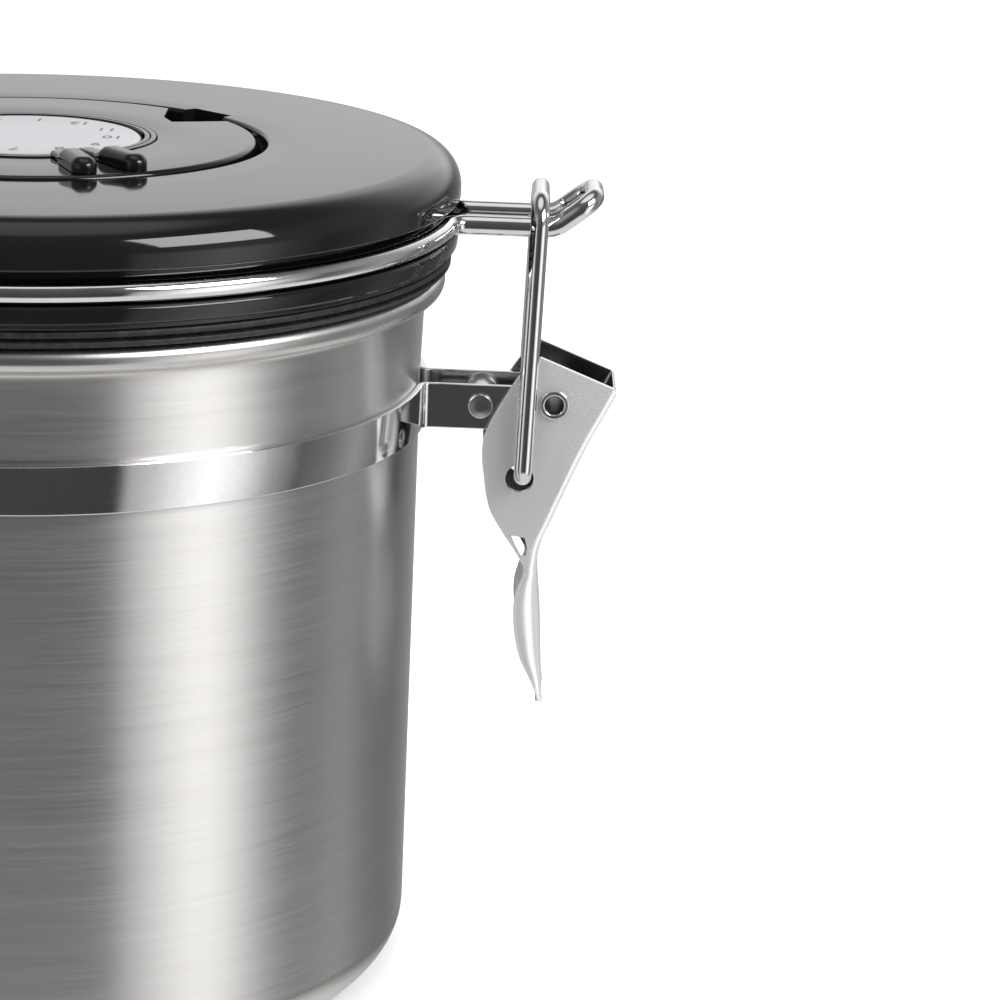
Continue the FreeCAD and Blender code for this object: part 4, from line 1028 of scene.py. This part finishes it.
def build_lever():
    fr = spline(FRONT, 400)
    bk = spline(BACK, 600)
    rows = 150
    verts, faces, grid = [], [], []
    for i in range(rows + 1):
        t = i / rows
        # matching stations: at the top the section runs from the back corner to the front corner,
        # lower down it is level
        zf = 89.3 + (41.0 - 89.3) * t
        F = at_height(fr, zf)
        lift = max(0.0, 1.0 - t * 3.2)
        zb = zf + (93.9 - 89.3) * lift ** 1.3
        if t > 0.97:
            zb = zf + 0.2 * (t - 0.97) / 0.03
        B = at_height(bk, zb)
        tab = min(1.0, max(0.0, (64.0 - zf) / 8.0))
        tab = tab * tab * (3 - 2 * tab)
        hw = 6.2
        end = max(0.0, (47.3 - zf) / 6.3)
        hw = hw - 1.9 * (1 - math.sqrt(max(0.0, 1 - min(end, 1.0) ** 2.4)))
        waist = math.exp(-((zf - 62.5) / 3.2) ** 2)
        hw -= 0.35 * waist
        span = (F - B).length
        rc = min(1.25 + 2.6 * tab, span * 0.85, hw * 0.7)
        d = (F - B).normalized()
        flare = 0.0
        row = []
        cols_c, cols_a, cols_w = 14, 10, 16
        pts = []
        straight = max(span - rc, 0.02)
        for k in range(cols_c):
            s = straight * k / cols_c
            P = B + d * s
            out = 0.28 * tab * (1 - k / cols_c) ** 2
            pts.append((P, -(hw - out)))
        for k in range(cols_a + 1):
            a = math.pi / 2 * k / cols_a
            P = B + d * (straight + rc * math.sin(a))
            pts.append((P, -(hw - rc + rc * math.cos(a))))
        for k in range(1, cols_w):
            P = F
            y = -(hw - rc) + 2 * (hw - rc) * k / cols_w
            pts.append((P, y))
        mirror = [(P, -y) for P, y in reversed(pts[:cols_c + cols_a + 1])]
        pts = pts + mirror
        for P, y in pts:
            row.append(len(verts))
            verts.append(Vector((P.x, y, P.y)) * MM)
        grid.append(row)
    w = len(grid[0])
    for i in range(rows):
        for k in range(w - 1):
            faces.append((grid[i][k], grid[i][k + 1], grid[i + 1][k + 1], grid[i + 1][k]))
    obj = mesh_object("latch_handle", verts, faces)
    bm = bmesh.new()
    bm.from_mesh(obj.data)
    bmesh.ops.remove_doubles(bm, verts=bm.verts, dist=1e-7)
    bmesh.ops.recalc_face_normals(bm, faces=bm.faces)
    # outward is +X on the web
    s = sum(f.normal.x * f.calc_area() for f in bm.faces if abs(f.calc_center_median().y) < 0.004)
    if s < 0:
        bmesh.ops.reverse_faces(bm, faces=bm.faces)
    bm.to_mesh(obj.data)
    bm.free()
    so = obj.modifiers.new("sheet", "SOLIDIFY")
    so.thickness = 0.95 * MM
    so.offset = -1.0
    so.use_even_offset = True
    so.use_rim = True
    apply_all(obj)
    fix_normals(obj)
    bevel(obj, 0.16, 2, 50)
    return obj


lever = build_lever()
window = prism("c", [(71.0, 67.2), (73.1, 66.9), (73.5, 65.3), (73.4, 64.0), (72.75, 63.7), (71.75, 65.4)], -9, 9)
tip = Vector((85.9, 89.3))
d1 = Vector((82.0 - 85.9, 81.6 - 89.3)).normalized()
d2 = Vector((74.4 - 85.9, 93.9 - 89.3)).normalized()
half_turn = 0.5 * d1.angle(d2)
rad = 1.1
mid_c = tip + (d1 + d2).normalized() * rad / math.sin(half_turn)
p1, p2 = tip + d1 * rad / math.tan(half_turn), tip + d2 * rad / math.tan(half_turn)
arc = []
for k in range(9):
    q = (p1 - mid_c).lerp(p2 - mid_c, k / 8).normalized() * rad + mid_c
    arc.append((q.x, q.y))
far_pt = tip - (d1 + d2) * 1.5
crop = prism("c", arc + [(p2.x - d1.x * 1.5, p2.y - d1.y * 1.5), (far_pt.x, far_pt.y), (p1.x - d2.x * 1.5, p1.y - d2.y * 1.5)], -9, 9)
cut(lever, [crop, cutter_cylinder("c", 1.66, 20, (76.6, 0, 87.0)), cutter_cylinder("c", 2.05, 20, (72.0, 0, 75.8)), window])
shade(lever, 30)
dress(lever, LEVER, "lever_chrome", "lever", "latch_lever")
# inner faces of the cheeks and of the web above z 60 take the darker copy: painted shade inside the channel
lever.data.materials.append(LEVER_PAINTED_SHADE)
for p in lever.data.polygons:
    c, nn = p.center * 1000, p.normal
    cheek = abs(nn.y) > 0.6 and nn.y * c.y < 0 and abs(c.y) > 2.0
    web = nn.x < -0.5 and abs(c.y) < 4.6 and abs(nn.y) < 0.5
    p.material_index = 1 if (cheek or web) and c.z > 60.0 else 0

# ------------------------------------------------------------------ wire link
lp = bent([(72.4, -5.0, 76.4), (72.4, -8.5, 76.4), (73.5, -8.5, 116.6), (73.5, 8.5, 116.6), (72.4, 8.5, 76.4), (72.4, 5.0, 76.4)],
          [1.9, 3.8, 3.8, 1.9], 18)
ll = rod("wire_link", resample(lp, 0.7), 1.3, closed=False, seg=36)
dress(ll, WIRE, "wire_chrome", "link", "bail_link")

# ------------------------------------------------------------------ floor, light, camera
bpy.ops.mesh.primitive_plane_add(size=12.0, location=(0, 0, -0.0002))
floor = bpy.context.object
floor.name = "floor"
fm = Mat("floor_pale")
fn = fm.noise(fm.coords(), 3.0, 3.0, 0.5)
fm.colour(fm.ramp(fn, [(0.3, (0.93, 0.93, 0.93)), (0.7, (0.95, 0.95, 0.95))]))
fm.rough(0.9)
floor.data.materials.append(fm.m)
floor.visible_glossy = False

world = bpy.data.worlds.new("studio")
scene.world = world
world.use_nodes = True
wt = world.node_tree
wt.nodes.clear()
wo = wt.nodes.new("ShaderNodeOutputWorld")
bg = wt.nodes.new("ShaderNodeBackground")
tc = wt.nodes.new("ShaderNodeTexCoord")
sx = wt.nodes.new("ShaderNodeSeparateXYZ")
wt.links.new(tc.outputs["Generated"], sx.inputs[0])


def wmath(op, a, b=None, clamp=False):
    n = wt.nodes.new("ShaderNodeMath")
    n.operation = op
    n.use_clamp = clamp
    for i, x in enumerate((a, b)):
        if x is None:
            continue
        if isinstance(x, (int, float)):
            n.inputs[i].default_value = x
        else:
            wt.links.new(x, n.inputs[i])
    return n.outputs[0]


# azimuth from the front (-Y), 0..1 for -180..180 degrees, 0.5 at the front, positive on the right
negy = wmath("MULTIPLY", sx.outputs["Y"], -1.0)
azi = wmath("ARCTAN2", sx.outputs["X"], negy)
right = wmath("DIVIDE", azi, 2 * math.pi)
turn = wmath("ADD", right, 0.5)


def wramp(f, stops):
    n = wt.nodes.new("ShaderNodeValToRGB")
    r = n.color_ramp
    while len(r.elements) > 1:
        r.elements.remove(r.elements[-1])
    r.elements[0].position = stops[0][0]
    c = stops[0][1]
    r.elements[0].color = (c, c, c, 1)
    for pos, c in stops[1:]:
        e = r.elements.new(pos)
        e.color = (c, c, c, 1)
    wt.links.new(f, n.inputs["Fac"])
    return n.outputs["Color"]


def deg(a):
    return 0.5 + a / 360.0


AROUND = [(-180, 0.5), (-140, 0.4), (-110, 0.25), (-85, 0.10), (-70, 0.5), (-50, 1.1), (-38, 0.9), (-24, 0.20), (-12, 0.07), (33, 0.06),
          (36, 0.52), (42, 0.70), (51, 1.15), (60, 1.45), (69, 1.10), (79, 0.45), (90, 0.13), (101, 0.20), (114, 0.36), (127, 0.19), (149, 0.17),
          (165, 0.3), (180, 0.5)]
ABOVE = [(-180, 1.05), (-150, 0.8), (-120, 0.4), (-90, 0.2), (-50, 0.5), (-10, 0.08), (30, 0.08), (60, 0.5), (90, 0.25), (125, 0.35), (150, 1.0),
         (168, 1.3), (180, 1.05)]
walls = wramp(turn, [(deg(a), v) for a, v in AROUND])
upper = wramp(turn, [(deg(a), v) for a, v in ABOVE])
up = wmath("ARCSINE", sx.outputs["Z"])
rise = wt.nodes.new("ShaderNodeMapRange")
rise.interpolation_type = "SMOOTHSTEP"
rise.inputs["From Min"].default_value = math.radians(0)
rise.inputs["From Max"].default_value = math.radians(10)
wt.links.new(up, rise.inputs["Value"])
two = wt.nodes.new("ShaderNodeMix")
two.data_type = "RGBA"
wt.links.new(rise.outputs["Result"], two.inputs["Factor"])
wt.links.new(walls, [s for s in two.inputs if s.name == "A" and s.type == "RGBA"][0])
wt.links.new(upper, [s for s in two.inputs if s.name == "B" and s.type == "RGBA"][0])
side = [s for s in two.outputs if s.type == "RGBA"][0]
high = wt.nodes.new("ShaderNodeMapRange")
high.interpolation_type = "SMOOTHSTEP"
high.inputs["From Min"].default_value = math.radians(26)
high.inputs["From Max"].default_value = math.radians(50)
wt.links.new(up, high.inputs["Value"])
mixn = wt.nodes.new("ShaderNodeMix")
mixn.data_type = "RGBA"
wt.links.new(high.outputs["Result"], mixn.inputs["Factor"])
ca = [s for s in mixn.inputs if s.name == "A" and s.type == "RGBA"][0]
cb = [s for s in mixn.inputs if s.name == "B" and s.type == "RGBA"][0]
wt.links.new(side, ca)
cb.default_value = (0.12, 0.12, 0.12, 1)
mixed = [s for s in mixn.outputs if s.type == "RGBA"][0]


def zone(prev, lo, hi, value):
    """Blend towards a flat brightness between two elevations, in degrees."""
    k = wt.nodes.new("ShaderNodeMapRange")
    k.interpolation_type = "SMOOTHSTEP"
    k.inputs["From Min"].default_value = math.radians(lo)
    k.inputs["From Max"].default_value = math.radians(hi)
    wt.links.new(up, k.inputs["Value"])
    mx = wt.nodes.new("ShaderNodeMix")
    mx.data_type = "RGBA"
    wt.links.new(k.outputs["Result"], mx.inputs["Factor"])
    wt.links.new(prev, [q for q in mx.inputs if q.name == "A" and q.type == "RGBA"][0])
    [q for q in mx.inputs if q.name == "B" and q.type == "RGBA"][0].default_value = (value, value, value, 1)
    return [q for q in mx.outputs if q.type == "RGBA"][0]


def low_zone(prev, top, bottom, value):
    """Blend towards a flat brightness as the direction drops from one elevation to a lower one."""
    k = wt.nodes.new("ShaderNodeMapRange")
    k.interpolation_type = "SMOOTHSTEP"
    k.inputs["From Min"].default_value = -math.radians(top)
    k.inputs["From Max"].default_value = -math.radians(bottom)
    wt.links.new(wmath("MULTIPLY", up, -1.0), k.inputs["Value"])
    mx = wt.nodes.new("ShaderNodeMix")
    mx.data_type = "RGBA"
    wt.links.new(k.outputs["Result"], mx.inputs["Factor"])
    wt.links.new(prev, [q for q in mx.inputs if q.name == "A" and q.type == "RGBA"][0])
    [q for q in mx.inputs if q.name == "B" and q.type == "RGBA"][0].default_value = (value, value, value, 1)
    return [q for q in mx.outputs if q.type == "RGBA"][0]


mixed = zone(mixed, 58, 74, 0.95)
mixed = low_zone(mixed, -26, -44, 0.80)
lp_node = wt.nodes.new("ShaderNodeLightPath")
sel = wt.nodes.new("ShaderNodeMix")
sel.data_type = "RGBA"
wt.links.new(lp_node.outputs["Is Glossy Ray"], sel.inputs["Factor"])
sa = [s for s in sel.inputs if s.name == "A" and s.type == "RGBA"][0]
sb = [s for s in sel.inputs if s.name == "B" and s.type == "RGBA"][0]
sa.default_value = (1, 1, 1, 1)
wt.links.new(mixed, sb)
wt.links.new([s for s in sel.outputs if s.type == "RGBA"][0], bg.inputs["Color"])
bg.inputs["Strength"].default_value = 1.0
wt.links.new(bg.outputs[0], wo.inputs["Surface"])


def softbox(name, where, target, size, power, size_y=None):
    li = bpy.data.lights.new(name, "AREA")
    li.shape = "RECTANGLE"
    li.size = size
    li.size_y = size_y or size
    li.energy = power
    o = link(bpy.data.objects.new(name, li))
    o.location = where
    d = Vector(target) - Vector(where)
    o.rotation_euler = d.to_track_quat("-Z", "Y").to_euler()
    return o


softbox("key_light", (0.80, -0.50, 0.72), (0, 0, 0.08), 0.62, 8.5, 0.5)
softbox("top_light", (-0.1, 0.15, 1.1), (0, 0, 0.1), 0.9, 4.0).visible_glossy = False

e, roll = 0.281, -0.038
R = Vector((1, 0, 0))
U = Vector((0, math.sin(e), math.cos(e)))
F = Vector((0, math.cos(e), -math.sin(e)))
cr = R * math.cos(roll) - U * math.sin(roll)
cu = R * math.sin(roll) + U * math.cos(roll)
cam_data = bpy.data.cameras.new("camera")
cam_data.sensor_width = 36.0
cam_data.lens = 3241.913 / 1000.0 * 36.0
cam_data.clip_start = 0.01
cam_data.clip_end = 50.0
cam = link(bpy.data.objects.new("camera", cam_data))
m = Matrix(((cr.x, cu.x, -F.x, 0.069312), (cr.y, cu.y, -F.y, -0.457653), (cr.z, cu.z, -F.z, 0.202826), (0, 0, 0, 1)))
cam.matrix_world = m
scene.camera = cam
scene.view_settings.view_transform = "Standard"
scene.view_settings.look = "None"
